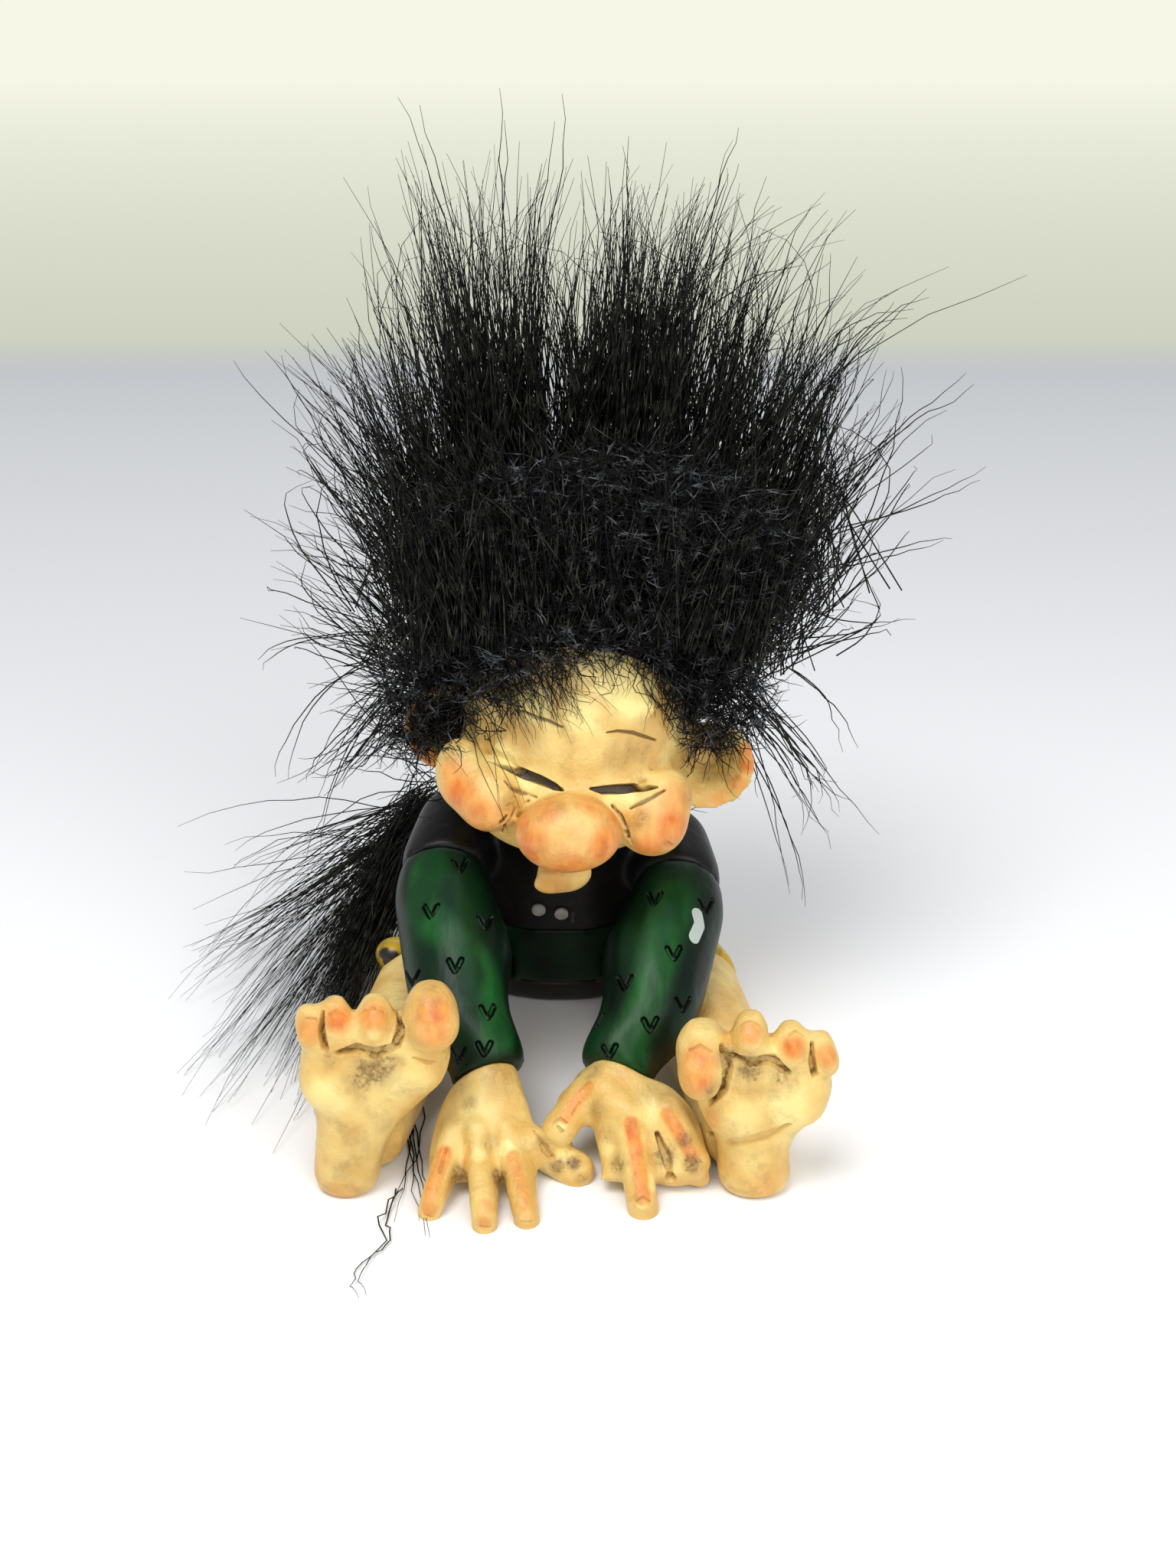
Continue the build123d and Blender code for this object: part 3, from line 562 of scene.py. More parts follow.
# cast pieces: each is a smoothed skin over its CAD node
# node: piece, voxel in mm, rounds of sharp and of soft smoothing, swell in mm, paint, slot
castSettings = {
    "head": ("headCast", 0.22, (6, 60), 0.10, skinPaint, "skin_paint"),
    "right_leg": ("rightLegCast", 0.22, (8, 50), 0.08, skinPaint, "skin_paint"),
    "left_leg": ("leftLegCast", 0.22, (8, 50), 0.08, skinPaint, "skin_paint"),
    "right_hand": ("rightHandCast", 0.16, (8, 36), 0.05, skinPaint, "skin_paint"),
    "left_hand": ("leftHandCast", 0.16, (8, 36), 0.05, skinPaint, "skin_paint"),
    "right_sleeve": ("rightSleeveCast", 0.22, (10, 50), 0.10, greenPaint, "shirt_paint"),
    "left_sleeve": ("leftSleeveCast", 0.22, (10, 50), 0.10, greenPaint, "shirt_paint"),
    "shirt": ("shirtCast", 0.3, (6, 30), 0.10, greenPaint, "shirt_paint"),
    "vest": ("vestCast", 0.28, (6, 30), 0.10, blackPaint, "vest_paint"),
    "trousers": ("trouserCast", 0.28, (6, 30), 0.10, yellowPaint, "trouser_paint"),
}


def ridge(start, end, count, sink, size):   # a row of small balls that melts into one finger or fold
    balls = []
    for k in range(count):
        t = k / (count - 1)
        pixel = (start[0] + (end[0] - start[0]) * t, start[1] + (end[1] - start[1]) * t)
        balls.append((pixel, sink, (size, size, size), 0))
    return balls


# knuckles, toes, lids and folds: pixel, sink, half sizes in mm, turn in degrees
castExtras = {
    "right_leg": [
        ((566, 1338), 1.0, (2.35, 2.5, 2.2), 0), ((488, 1337), 0.75, (1.45, 1.95, 1.6), 0),
        ((442, 1339), 0.7, (1.35, 1.85, 1.5), 0), ((403, 1351), 0.65, (1.15, 1.5, 1.3), 0),
        ((540, 1395), 1.6, (2.8, 2.2, 2.2), -20), ((425, 1410), 1.8, (2.4, 2.8, 2.3), 10),
    ],
    "left_leg": [
        ((914, 1402), 0.6, (2.0, 2.5, 2.0), 0), ((980, 1355), 0.7, (1.45, 1.65, 1.5), 0),
        ((1037, 1372), 0.7, (1.35, 1.85, 1.5), 8), ((1080, 1383), 0.65, (1.2, 1.7, 1.4), 12),
        ((960, 1455), 1.5, (2.6, 2.3, 2.0), 0), ((1050, 1430), 1.8, (2.2, 2.8, 2.2), 0),
    ],
    "left_hand": [
        ((801, 1446), 0.5, (2.0, 2.0, 1.6), 0), ((772, 1450), 0.5, (1.5, 1.5, 1.4), 0),
        ((789, 1424), 0.5, (2.0, 1.6, 1.6), 0), ((731, 1474), 0.8, (1.6, 1.75, 1.5), 0),
        ((800, 1475), 1.0, (1.6, 2.6, 1.4), 0),
    ],
    "trousers": [
        ((519, 1224), 0.3, (2.5, 2.2, 2.4), 0), ((515, 1246), 0.4, (2.0, 1.8, 2.0), 0),
        ((893, 1252), 0.4, (2.7, 2.0, 2.4), 0), ((897, 1266), 0.4, (2.0, 1.8, 2.0), 0),
    ],
    "head": [
        ((604, 1012), 1.9, (2.5, 3.4, 2.4), 8), ((622, 990), 1.6, (2.6, 2.2, 1.8), 0),
        ((640, 1060), 1.5, (2.4, 1.9, 1.8), 0), ((872, 1046), 1.8, (2.3, 3.0, 2.2), -6),
        ((852, 1090), 1.6, (2.2, 1.8, 1.9), 0), ((862, 1015), 1.3, (1.6, 1.6, 1.4), 0),
        ((686, 1020), 0.25, (1.7, 0.55, 0.6), -24), ((815, 1044), 0.25, (2.0, 0.5, 0.6), 6),
        ((678, 986), 0.5, (2.6, 0.7, 0.8), -22), ((815, 1012), 0.5, (2.6, 0.6, 0.8), 3),
        ((727, 1142), 0.6, (1.9, 0.9, 1.1), 4), ((722, 1153), 0.7, (1.8, 1.1, 1.0), 0),
        ((700, 910), 0.9, (2.2, 1.4, 1.2), 15), ((822, 925), 0.9, (2.4, 1.5, 1.2), 0),
    ],
}
fingerRidges = {   # first and last pixel, balls, sink and half size in mm
    "right_hand": [
        ((592, 1476), (561, 1582), 9, 0.35, 1.15), ((622, 1474), (633, 1600), 10, 0.3, 1.2),
        ((660, 1474), (688, 1594), 10, 0.35, 1.2), ((690, 1492), (766, 1536), 7, 0.6, 1.7),
        ((700, 1440), (725, 1490), 4, 0.6, 1.5),
    ],
    "left_hand": [
        ((772, 1416), (730, 1476), 7, 0.5, 1.55), ((820, 1452), (840, 1578), 11, 0.35, 1.45),
        ((872, 1450), (908, 1518), 6, 0.3, 1.45),
    ],
}
for nodeName, ridges in fingerRidges.items():
    balls = [ball for row in ridges for ball in ridge(*row)]
    castExtras[nodeName] = balls + castExtras.get(nodeName, [])
casts, castTrees = {}, {}
for nodeName, (*form, paint, slot) in castSettings.items():
    cast = castCopy(nodeName, *form, castExtras.get(nodeName, []))
    cast.data.materials.append(paint)
    casts[nodeName] = cast
    castTrees[nodeName] = treeOf(cast)
print("cast skins made")

for nodeName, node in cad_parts.items():
    finish = bareResin
    if nodeName.endswith("button"):
        finish = buttonPaint
    if nodeName == "tail_stem":
        finish = skinPaint
    # the fur's CAD pieces take the same matt near-black painted as deep shade
    if nodeName in ("hair", "hair_pelt", "tail_fur"):
        finish = furPaints["furThickShade"]
    node.data.materials.clear()
    node.data.materials.append(finish)


# a dark opening that tapers, half widths in mm along the path
def slitShape(piece, layer, path, widths, depth, strength):
    points, normals = readPoints(piece.data), readNormals(piece.data)
    inside = np.zeros(len(points))
    for k in range(len(path) - 1):
        start, line = np.array(path[k]), np.array(path[k + 1]) - np.array(path[k])
        along = np.clip(((points - start) @ line) / (line @ line), 0, 1)
        gap = np.linalg.norm(points - start - along[:, None] * line, axis=1)
        width = (widths[k] + (widths[k + 1] - widths[k]) * along) * mm
        core, edge = width * shapingSettings["slitCore"], width + shapingSettings["slitEdge"] * mm
        inside = np.maximum(inside, 1 - smoothStep(gap, core, edge))
    writePoints(piece.data, points - normals * (inside * depth * mm)[:, None])
    writePaint(piece, layer, np.maximum(readPaint(piece, layer), inside * strength))


# face: slits, folds and brush-darkened lines at their places in the photograph, in its pixels
faceSettings = {   # pixels, half widths in mm, depth in mm, layer, strength
    "leftSlit": (
        [(635, 993), (655, 1000), (680, 1009), (705, 1019), (724, 1027), (735, 1032)],
        [0.05, 0.24, 0.40, 0.40, 0.26, 0.05], 0.9, "slit", 0.93),
    "rightSlit": (
        [(772, 1030), (788, 1032), (806, 1031), (828, 1029), (846, 1029), (858, 1028)],
        [0.06, 0.34, 0.42, 0.36, 0.26, 0.05], 0.9, "slit", 0.93),
    "leftFold": (
        [(671, 927), (685, 930), (701, 937), (717, 942), (734, 950)], [0.03, 0.09, 0.13, 0.12, 0.04], 0.25,
        "slit", 0.7),
    "rightFold": (
        [(793, 957), (807, 955), (826, 957), (842, 962), (857, 967)], [0.03, 0.09, 0.14, 0.12, 0.04], 0.25,
        "slit", 0.7),
    "browMark": ([(858, 925), (864, 921), (871, 920)], [0.03, 0.1, 0.04], 0.15, "slit", 0.8),
    "leftLid": (
        [(660, 1020), (668, 1029), (682, 1036), (700, 1041)], [0.05, 0.16, 0.2, 0.05], 0.25, "wash", 0.9),
    "leftTick": ([(722, 1030), (733, 1031)], [0.06, 0.12], 0.2, "slit", 0.7),
    "rightLid": (
        [(822, 1056), (838, 1048), (855, 1039), (868, 1032)], [0.05, 0.2, 0.15, 0.05], 0.3, "slit", 0.65),
    "noseSide": (
        [(800, 1052), (812, 1068), (819, 1086), (824, 1100)], [0.08, 0.16, 0.22, 0.1], 0.35, "wash", 0.95),
    "noseHole": ([(817, 1088), (822, 1096)], [0.2, 0.12], 0.5, "slit", 0.85),
    "cheekCrease": (
        [(690, 1046), (672, 1060), (660, 1078), (655, 1088)], [0.06, 0.14, 0.18, 0.08], 0.3, "wash", 0.95),
    "cheekHole": ([(655, 1074), (662, 1066)], [0.16, 0.08], 0.3, "slit", 0.8),
    "dimple": ([(871, 1102), (877, 1106)], [0.22, 0.2], 0.2, "wash", 0.5),
    "mouth": (
        [(698, 1146), (715, 1150), (735, 1150), (755, 1145)], [0.04, 0.12, 0.12, 0.04], 0.2, "wash", 0.8),
}
head = casts["head"]
headTree = castTrees["head"]
facePaths = {name: pathOnPiece(headTree, settings[0]) for name, settings in faceSettings.items()}
refine(head, facePaths.values(), shapingSettings["faceReach"])
finePaths = [facePaths[name] for name in faceSettings if "Slit" in name or "Fold" in name]
refine(head, finePaths, shapingSettings["slitReach"])
for name, (pixels, widths, depth, layer, strength) in faceSettings.items():
    if len(facePaths[name]) == len(widths):
        slitShape(head, layer, facePaths[name], widths, depth, strength)
    else:
        print("face line off the casting:", name)
washCreases(head, *shapingSettings["headCreases"])


def paintSpots(piece, tree, layer, spots):   # soft round dabs: pixel, radius in mm, strength
    points = readPoints(piece.data)
    values = readPaint(piece, layer)
    core = shapingSettings["dabCore"]
    for px, py, radius, strength in spots:
        start, ray = pixelRay(px, py)
        place, normal, index, gap = tree.ray_cast(start, ray)
        if place is not None:
            gaps = np.linalg.norm(points - np.array(place), axis=1)
            values = np.maximum(values, strength * (1 - smoothStep(gaps, core * radius * mm, radius * mm)))
    writePaint(piece, layer, values)


faceDabs = {   # pixel, radius in mm, strength
    "wash": [
        (812, 985, 2.6, 0.45), (838, 982, 2.2, 0.42), (690, 965, 2.2, 0.4), (640, 1085, 1.6, 0.5),
        (835, 1070, 1.5, 0.45), (668, 1050, 1.4, 0.6), (925, 1010, 1.8, 0.6), (900, 1040, 1.6, 0.5),
        (735, 1160, 1.2, 0.4),
    ],
    # pale: painted highlights on the brow, lids, nose and cheeks
    "pale": [
        (697, 922, 2.4, 1.0), (825, 915, 3.0, 1.0), (760, 930, 2.5, 0.7), (755, 1088, 2.2, 0.8),
        (800, 1050, 1.4, 0.8), (690, 1018, 1.2, 1.0), (815, 1044, 1.4, 1.0), (845, 900, 2.2, 0.9),
        (655, 985, 1.8, 0.5), (962, 1010, 1.4, 0.8), (800, 890, 3.0, 1.0), (770, 870, 2.4, 0.8),
        (735, 1085, 1.6, 0.5),
    ],
    "blush": [
        (742, 1138, 4.2, 1.0), (690, 1105, 3.6, 0.95), (795, 1105, 3.6, 0.95), (680, 1075, 3.0, 0.9),
        (806, 1070, 3.0, 0.9), (715, 1055, 3.0, 0.75), (775, 1050, 3.0, 0.65), (745, 1095, 4.0, 0.5),
        (600, 1038, 3.2, 0.95), (620, 1068, 3.2, 0.9), (592, 1010, 2.4, 0.7), (648, 1070, 2.4, 0.6),
        (725, 1160, 2.2, 0.6), (880, 1085, 3.6, 1.0), (850, 1110, 3.0, 0.85), (885, 1050, 2.8, 0.75),
        (845, 1072, 2.6, 0.5), (978, 980, 1.5, 0.95), (976, 1000, 1.5, 0.95), (964, 1022, 1.4, 0.85),
        (972, 958, 1.4, 0.8), (940, 1042, 1.3, 0.6), (536, 940, 2.0, 0.9), (545, 975, 2.0, 0.9),
        (560, 995, 1.8, 0.8),
    ],
}
for layer, spots in faceDabs.items():
    paintSpots(head, headTree, layer, spots)
print("face carved")


# sleeves: V marks pressed into the casting, in photograph pixels, and the strokes of painted sheen and
# painted highlight
sleeveSettings = {
    "right_sleeve": {
        "marks": [
            (562, 1190), (594, 1261), (601, 1131), (637, 1322), (597, 1099), (538, 1277), (598, 1379),
            (632, 1370), (674, 1329), (634, 1205)],
        # painted sheen and painted highlights, in strokes along the sleeve
        "sheen": [(575, 1090), (588, 1150), (585, 1210), (598, 1260), (612, 1300)],
        "bright": [(560, 1130), (545, 1180), (640, 1290), (650, 1350)],
    },
    "left_sleeve": {
        "marks": [
            (854, 1174), (880, 1245), (815, 1284), (892, 1312), (849, 1339), (795, 1374), (778, 1334),
            (922, 1183)],
        "sheen": [(868, 1190), (855, 1225), (840, 1262)],
        "bright": [(885, 1170), (870, 1210), (850, 1290), (830, 1345), (820, 1390)],
    },
}
markSettings = {
    "leftArm": ((-8, -7), (-3, 3), (0, 7)),   # a V's arms in pixels from its middle
    "rightArm": ((9, -8), (4, 2), (0, 7)),
    "width": 0.32,                            # mm
    "depth": 0.38,
    "paintWidth": 0.42,
    "brush": (("sheen", 1.7, 0.35), ("bright", 2.6, 0.85)),   # layer, half width in mm, strength
    "chip": [(911, 1194), (914, 1208), (907, 1224)],
    "chipWidth": 0.9,
}
for nodeName, settings in sleeveSettings.items():
    sleeve, tree = casts[nodeName], castTrees[nodeName]
    strokes = []
    for px, py in settings["marks"]:
        for arm in ("leftArm", "rightArm"):
            path = pathOnPiece(tree, [(px + across, py + down) for across, down in markSettings[arm]])
            if len(path) > 1:
                strokes.append(path)
    refine(sleeve, strokes, shapingSettings["lineReach"])
    refine(sleeve, strokes, shapingSettings["strokeReach"])
    for stroke in strokes:
        carve(sleeve, stroke, markSettings["width"], markSettings["depth"])
        paintPath(sleeve, "wash", stroke, markSettings["paintWidth"], 1)
    # the strokes paint sheen and highlights onto the sleeves
    for layer, width, strength in markSettings["brush"]:
        paintPath(sleeve, layer, pathOnPiece(tree, settings[layer]), width, strength)
chipPath = pathOnPiece(castTrees["left_sleeve"], markSettings["chip"])
paintPath(casts["left_sleeve"], "chip", chipPath, markSettings["chipWidth"], 1)
print("sleeves marked")

# hands and feet: crevices with pixels, half widths and depth in mm, layer and strength, then dabs and strokes
limbSettings = {
    "right_leg": {
        "lines": [
            ([(464, 1308), (463, 1335), (466, 1364)], [0.15, 0.3, 0.38], 1.05, "wash", 0.52),
            ([(421, 1322), (420, 1345), (424, 1370)], [0.12, 0.27, 0.3], 0.95, "wash", 0.52),
            ([(522, 1322), (524, 1345), (517, 1366)], [0.22, 0.38, 0.38], 0.84, "wash", 0.52),
            ([(440, 1376), (466, 1370), (490, 1376), (515, 1368)],
             [0.15, 0.45, 0.5, 0.3], 0.84, "wash", 0.52),
            ([(472, 1322), (486, 1316), (502, 1322)], [0.04, 0.1, 0.04], 0.15, "wash", 0.54),
            ([(428, 1326), (440, 1320), (452, 1326)], [0.04, 0.1, 0.04], 0.15, "wash", 0.54),
            ([(540, 1382), (560, 1388), (585, 1380)], [0.05, 0.11, 0.05], 0.2, "wash", 0.42),
            ([(400, 1330), (412, 1332)], [0.06, 0.06], 0.15, "wash", 0.48),
        ],
        "wash": [
            (488, 1398, 2.6, 0.85), (470, 1412, 2.0, 0.7), (505, 1390, 1.8, 0.7), (450, 1530, 2.0, 0.45),
            (470, 1500, 2.4, 0.35), (500, 1470, 1.6, 0.35), (430, 1385, 1.4, 0.5)],
        "blush": [
            (566, 1322, 2.8, 0.95), (566, 1350, 2.6, 0.8), (488, 1328, 2.1, 0.95), (442, 1330, 2.0, 0.95),
            (404, 1345, 1.8, 0.85), (444, 1560, 2.4, 0.35)],
        "pale": [(420, 1440, 3.0, 0.7), (540, 1420, 2.8, 0.6), (560, 1345, 1.3, 0.5), (488, 1352, 0.9, 0.8)],
    },
    "left_leg": {
        "lines": [
            ([(944, 1368), (950, 1395), (944, 1425), (925, 1442)],
             [0.3, 0.45, 0.42, 0.18], 1.05, "wash", 0.52),
            ([(955, 1378), (980, 1388), (1008, 1384), (1030, 1402)],
             [0.18, 0.45, 0.45, 0.22], 0.84, "wash", 0.52),
            ([(1008, 1345), (1010, 1365), (1014, 1385)], [0.15, 0.33, 0.3], 0.95, "wash", 0.52),
            ([(1061, 1362), (1060, 1382), (1064, 1404)], [0.12, 0.24, 0.24], 0.84, "wash", 0.52),
            ([(925, 1482), (960, 1492), (1000, 1486), (1030, 1470)],
             [0.2, 0.6, 0.6, 0.2], 0.45, "wash", 0.06),
            ([(1030, 1352), (1040, 1346), (1050, 1352)], [0.04, 0.1, 0.04], 0.15, "wash", 0.54),
            ([(968, 1338), (980, 1332), (992, 1338)], [0.04, 0.1, 0.04], 0.15, "wash", 0.54),
            ([(898, 1372), (914, 1366), (930, 1374)], [0.04, 0.11, 0.04], 0.2, "wash", 0.48),
        ],
        "wash": [
            (980, 1395, 2.2, 0.8), (950, 1380, 1.6, 0.8), (1020, 1405, 1.8, 0.6), (930, 1425, 1.4, 0.6),
            (985, 1420, 1.8, 0.4), (890, 1330, 2.0, 0.5)],
        "blush": [
            (912, 1388, 2.4, 0.95), (912, 1412, 2.3, 0.95), (980, 1348, 1.6, 0.85), (1037, 1368, 1.7, 0.95),
            (1081, 1380, 1.6, 0.85), (930, 1462, 1.6, 0.5), (1000, 1550, 2.2, 0.35)],
        "pale": [(1030, 1450, 2.8, 0.7), (975, 1460, 2.6, 0.7), (980, 1345, 0.9, 0.8), (905, 1392, 0.9, 0.8)],
    },
    "right_hand": {
        "lines": [
            ([(609, 1488), (604, 1520), (592, 1560)], [0.12, 0.38, 0.45], 0.73, "wash", 0.52),
            ([(641, 1488), (647, 1520), (657, 1562)], [0.12, 0.38, 0.45], 0.73, "wash", 0.52),
            ([(583, 1500), (574, 1530)], [0.06, 0.12], 0.2, "wash", 0.42),
            ([(556, 1588), (566, 1590)], [0.08, 0.1], 0.1, "wash", 0.42),
            ([(627, 1602), (640, 1603)], [0.08, 0.08], 0.1, "wash", 0.42),
            ([(682, 1596), (694, 1596)], [0.08, 0.08], 0.1, "wash", 0.42),
            ([(700, 1478), (712, 1500), (722, 1512)], [0.15, 0.38, 0.3], 0.63, "wash", 0.47),
        ],
        "wash": [
            (600, 1535, 1.6, 0.85), (650, 1540, 1.6, 0.85), (749, 1519, 1.2, 0.95), (728, 1524, 1.2, 0.8),
            (705, 1450, 2.2, 0.6), (690, 1420, 1.8, 0.4), (600, 1420, 1.8, 0.4), (640, 1495, 1.4, 0.5),
            (760, 1540, 1.0, 0.6), (655, 1408, 2.4, 0.5), (705, 1405, 2.0, 0.6), (720, 1445, 1.8, 0.7),
            (715, 1490, 1.6, 0.6), (612, 1440, 1.2, 0.6)],
        "blush": [(636, 1575, 1.3, 0.45), (632, 1598, 1.0, 0.7)],
        "strokes": [
            ([(580, 1505), (568, 1540), (560, 1582)], 0.95, 0.85),
            ([(670, 1510), (680, 1545), (690, 1588)], 0.8, 0.7), ([(612, 1500), (604, 1535)], 0.4, 0.5)],
        "pale": [
            (620, 1455, 2.4, 0.7), (660, 1500, 1.0, 0.8), (625, 1510, 1.0, 0.8), (688, 1590, 0.8, 0.9),
            (740, 1505, 1.2, 0.6)],
    },
    "left_hand": {
        "lines": [
            ([(798, 1490), (806, 1520), (814, 1548)], [0.15, 0.38, 0.45], 0.73, "wash", 0.49),
            ([(858, 1480), (870, 1510), (876, 1540)], [0.15, 0.38, 0.45], 0.73, "wash", 0.49),
            ([(830, 1570), (840, 1564), (850, 1570)], [0.04, 0.1, 0.04], 0.15, "wash", 0.54),
            ([(722, 1466), (731, 1461), (740, 1467)], [0.05, 0.1, 0.05], 0.15, "wash", 0.54),
            ([(728, 1472), (734, 1478)], [0.1, 0.16], 0.2, "slit", 0.36),
            ([(757, 1440), (748, 1455)], [0.05, 0.08], 0.12, "wash", 0.42),
        ],
        "wash": [
            (808, 1520, 1.6, 0.7), (868, 1510, 1.8, 0.8), (895, 1490, 1.4, 0.7), (905, 1520, 1.6, 0.85),
            (925, 1550, 1.4, 0.6), (780, 1450, 1.6, 0.5), (850, 1430, 1.8, 0.5), (775, 1400, 1.6, 0.5),
            (760, 1400, 1.6, 0.5), (885, 1425, 2.0, 0.55), (905, 1460, 1.8, 0.55), (790, 1480, 1.4, 0.5)],
        "blush": [(930, 1535, 1.2, 0.5)],
        "strokes": [
            ([(824, 1468), (831, 1500), (837, 1535), (840, 1565)], 0.95, 1.0),
            ([(768, 1420), (752, 1440), (738, 1460)], 0.8, 0.95),
            ([(872, 1455), (888, 1482), (905, 1510)], 0.85, 0.95)],
        "pale": [
            (845, 1450, 1.8, 0.7), (790, 1500, 1.2, 0.7), (850, 1545, 1.2, 0.8), (733, 1470, 0.7, 0.9),
            (838, 1574, 0.7, 0.9)],
    },
}
for nodeName, settings in limbSettings.items():
    limb, tree = casts[nodeName], castTrees[nodeName]
    lines = [(pathOnPiece(tree, pixels), *rest) for pixels, *rest in settings["lines"]]
    refine(limb, [line[0] for line in lines], shapingSettings["lineReach"])
    for path, widths, depth, layer, strength in lines:
        if len(path) == len(widths):
            slitShape(limb, layer, path, widths, depth, strength)
    washCreases(limb, *shapingSettings["limbCreases"])
    # pale: highlights painted onto the hands and feet
    for layer in ("wash", "blush", "pale"):
        paintSpots(limb, tree, layer, settings[layer])
    for pixels, width, strength in settings.get("strokes", []):
        paintPath(limb, "blush", pathOnPiece(tree, pixels), width, strength)
print("hands and feet painted")

# trousers: the front between the legs painted dark as shade, and a brown patch by each hem
trouserSettings = {
    "halfAcross": (11.5, 13.5),   # mm from the middle where the stain begins to fade and where it ends
    "back": (-4, -1),
    "patches": [(512, 1252, 1.6, 0.95), (503, 1246, 1.1, 0.8), (925, 1268, 1.5, 0.95), (918, 1280, 1.4, 0.9)],
}
trousers = casts["trousers"]
points = readPoints(trousers.data) / mm
across = 1 - smoothStep(np.abs(points[:, 0]), *trouserSettings["halfAcross"])
forward = 1 - smoothStep(points[:, 1], *trouserSettings["back"])
# painted shade: the front between the legs darkened
writePaint(trousers, "wash", across * forward)
paintSpots(trousers, castTrees["trousers"], "wash", trouserSettings["patches"])

# vest: a pale line painted along the hem, and the faint line where its fronts meet
vestSettings = {   # pixels, half width in mm, strength
    "hem": ([(752, 1219), (767, 1221), (782, 1222)], 0.2, 1.0),
    "front": ([(748, 1192), (748, 1204), (749, 1216)], 0.14, 0.7),
}
vest = casts["vest"]
for pixels, width, strength in vestSettings.values():
    path = pathOnPiece(castTrees["vest"], pixels)
    refine(vest, [path], shapingSettings["lineReach"])
    paintPath(vest, "edge", path, width, strength)

for nodeName, (*form, paint, slot) in castSettings.items():
    piece = casts[nodeName]
    for polygon in piece.data.polygons:
        polygon.use_smooth = True
    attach(piece, "root")
    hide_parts(nodeName)
print("cast pieces placed")


# fur: tapered strands along curves
strandSettings = {"taper": 0.75, "taperPower": 1.8}   # how much thinner the tip is, and how late it thins


def strandPiece(name, strands, thickness, paint):
    curve = bpy.data.curves.new(name, "CURVE")
    curve.dimensions = "3D"
    curve.bevel_depth = thickness / 2 * mm
    curve.bevel_resolution = 0
    curve.resolution_u = 1
    for path in strands:
        spline = curve.splines.new("POLY")
        spline.points.add(len(path) - 1)
        flat, radii = [], []
        for index, point in enumerate(path):
            share = index / (len(path) - 1)
            flat += [point[0], point[1], max(point[2], thickness / 2 * mm), 1]
            radii.append(1 - strandSettings["taper"] * share ** strandSettings["taperPower"])
        spline.points.foreach_set("co", flat)
        spline.points.foreach_set("radius", radii)
        spline.use_smooth = True
    piece = bpy.data.objects.new(name, curve)
    scene.collection.objects.link(piece)
    curve.materials.append(paint)
    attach(piece, "root")
    return piece


def strandThirds(name, strands, thickness, paint):   # three pieces, so that none is too heavy
    third = len(strands) // 3
    for letter, part in zip("ABC", (strands[:third], strands[third:2 * third], strands[2 * third:])):
        strandPiece(name + letter, part, thickness, paint)


def scatter(chance, spread, middle=(0, 0, 0)):
    return Vector([chance.gauss(m, s) for m, s in zip(middle, spread)])


# a cubic curve with small kinks that grow towards the tip
def bentStrand(start, lift, pull, end, steps, kink, chance):
    drift = Vector((0, 0, 0))
    path = []
    for index in range(steps + 1):
        t = index / steps
        s = 1 - t
        drift += scatter(chance, (1, 1, 1)) * kink * mm * t
        path.append(start * s ** 3 + lift * 3 * s * s * t + pull * 3 * s * t * t + end * t ** 3 + drift)
    return path


def curlyStrand(start, aim, size, steps, curl, chance):   # a short hair that wanders as it goes
    path, place, aim = [start], start, aim.normalized()
    for index in range(steps):
        aim = (aim + scatter(chance, (1, 1, 1)) * curl).normalized()
        place = place + aim * size / steps
        path.append(place)
    return path


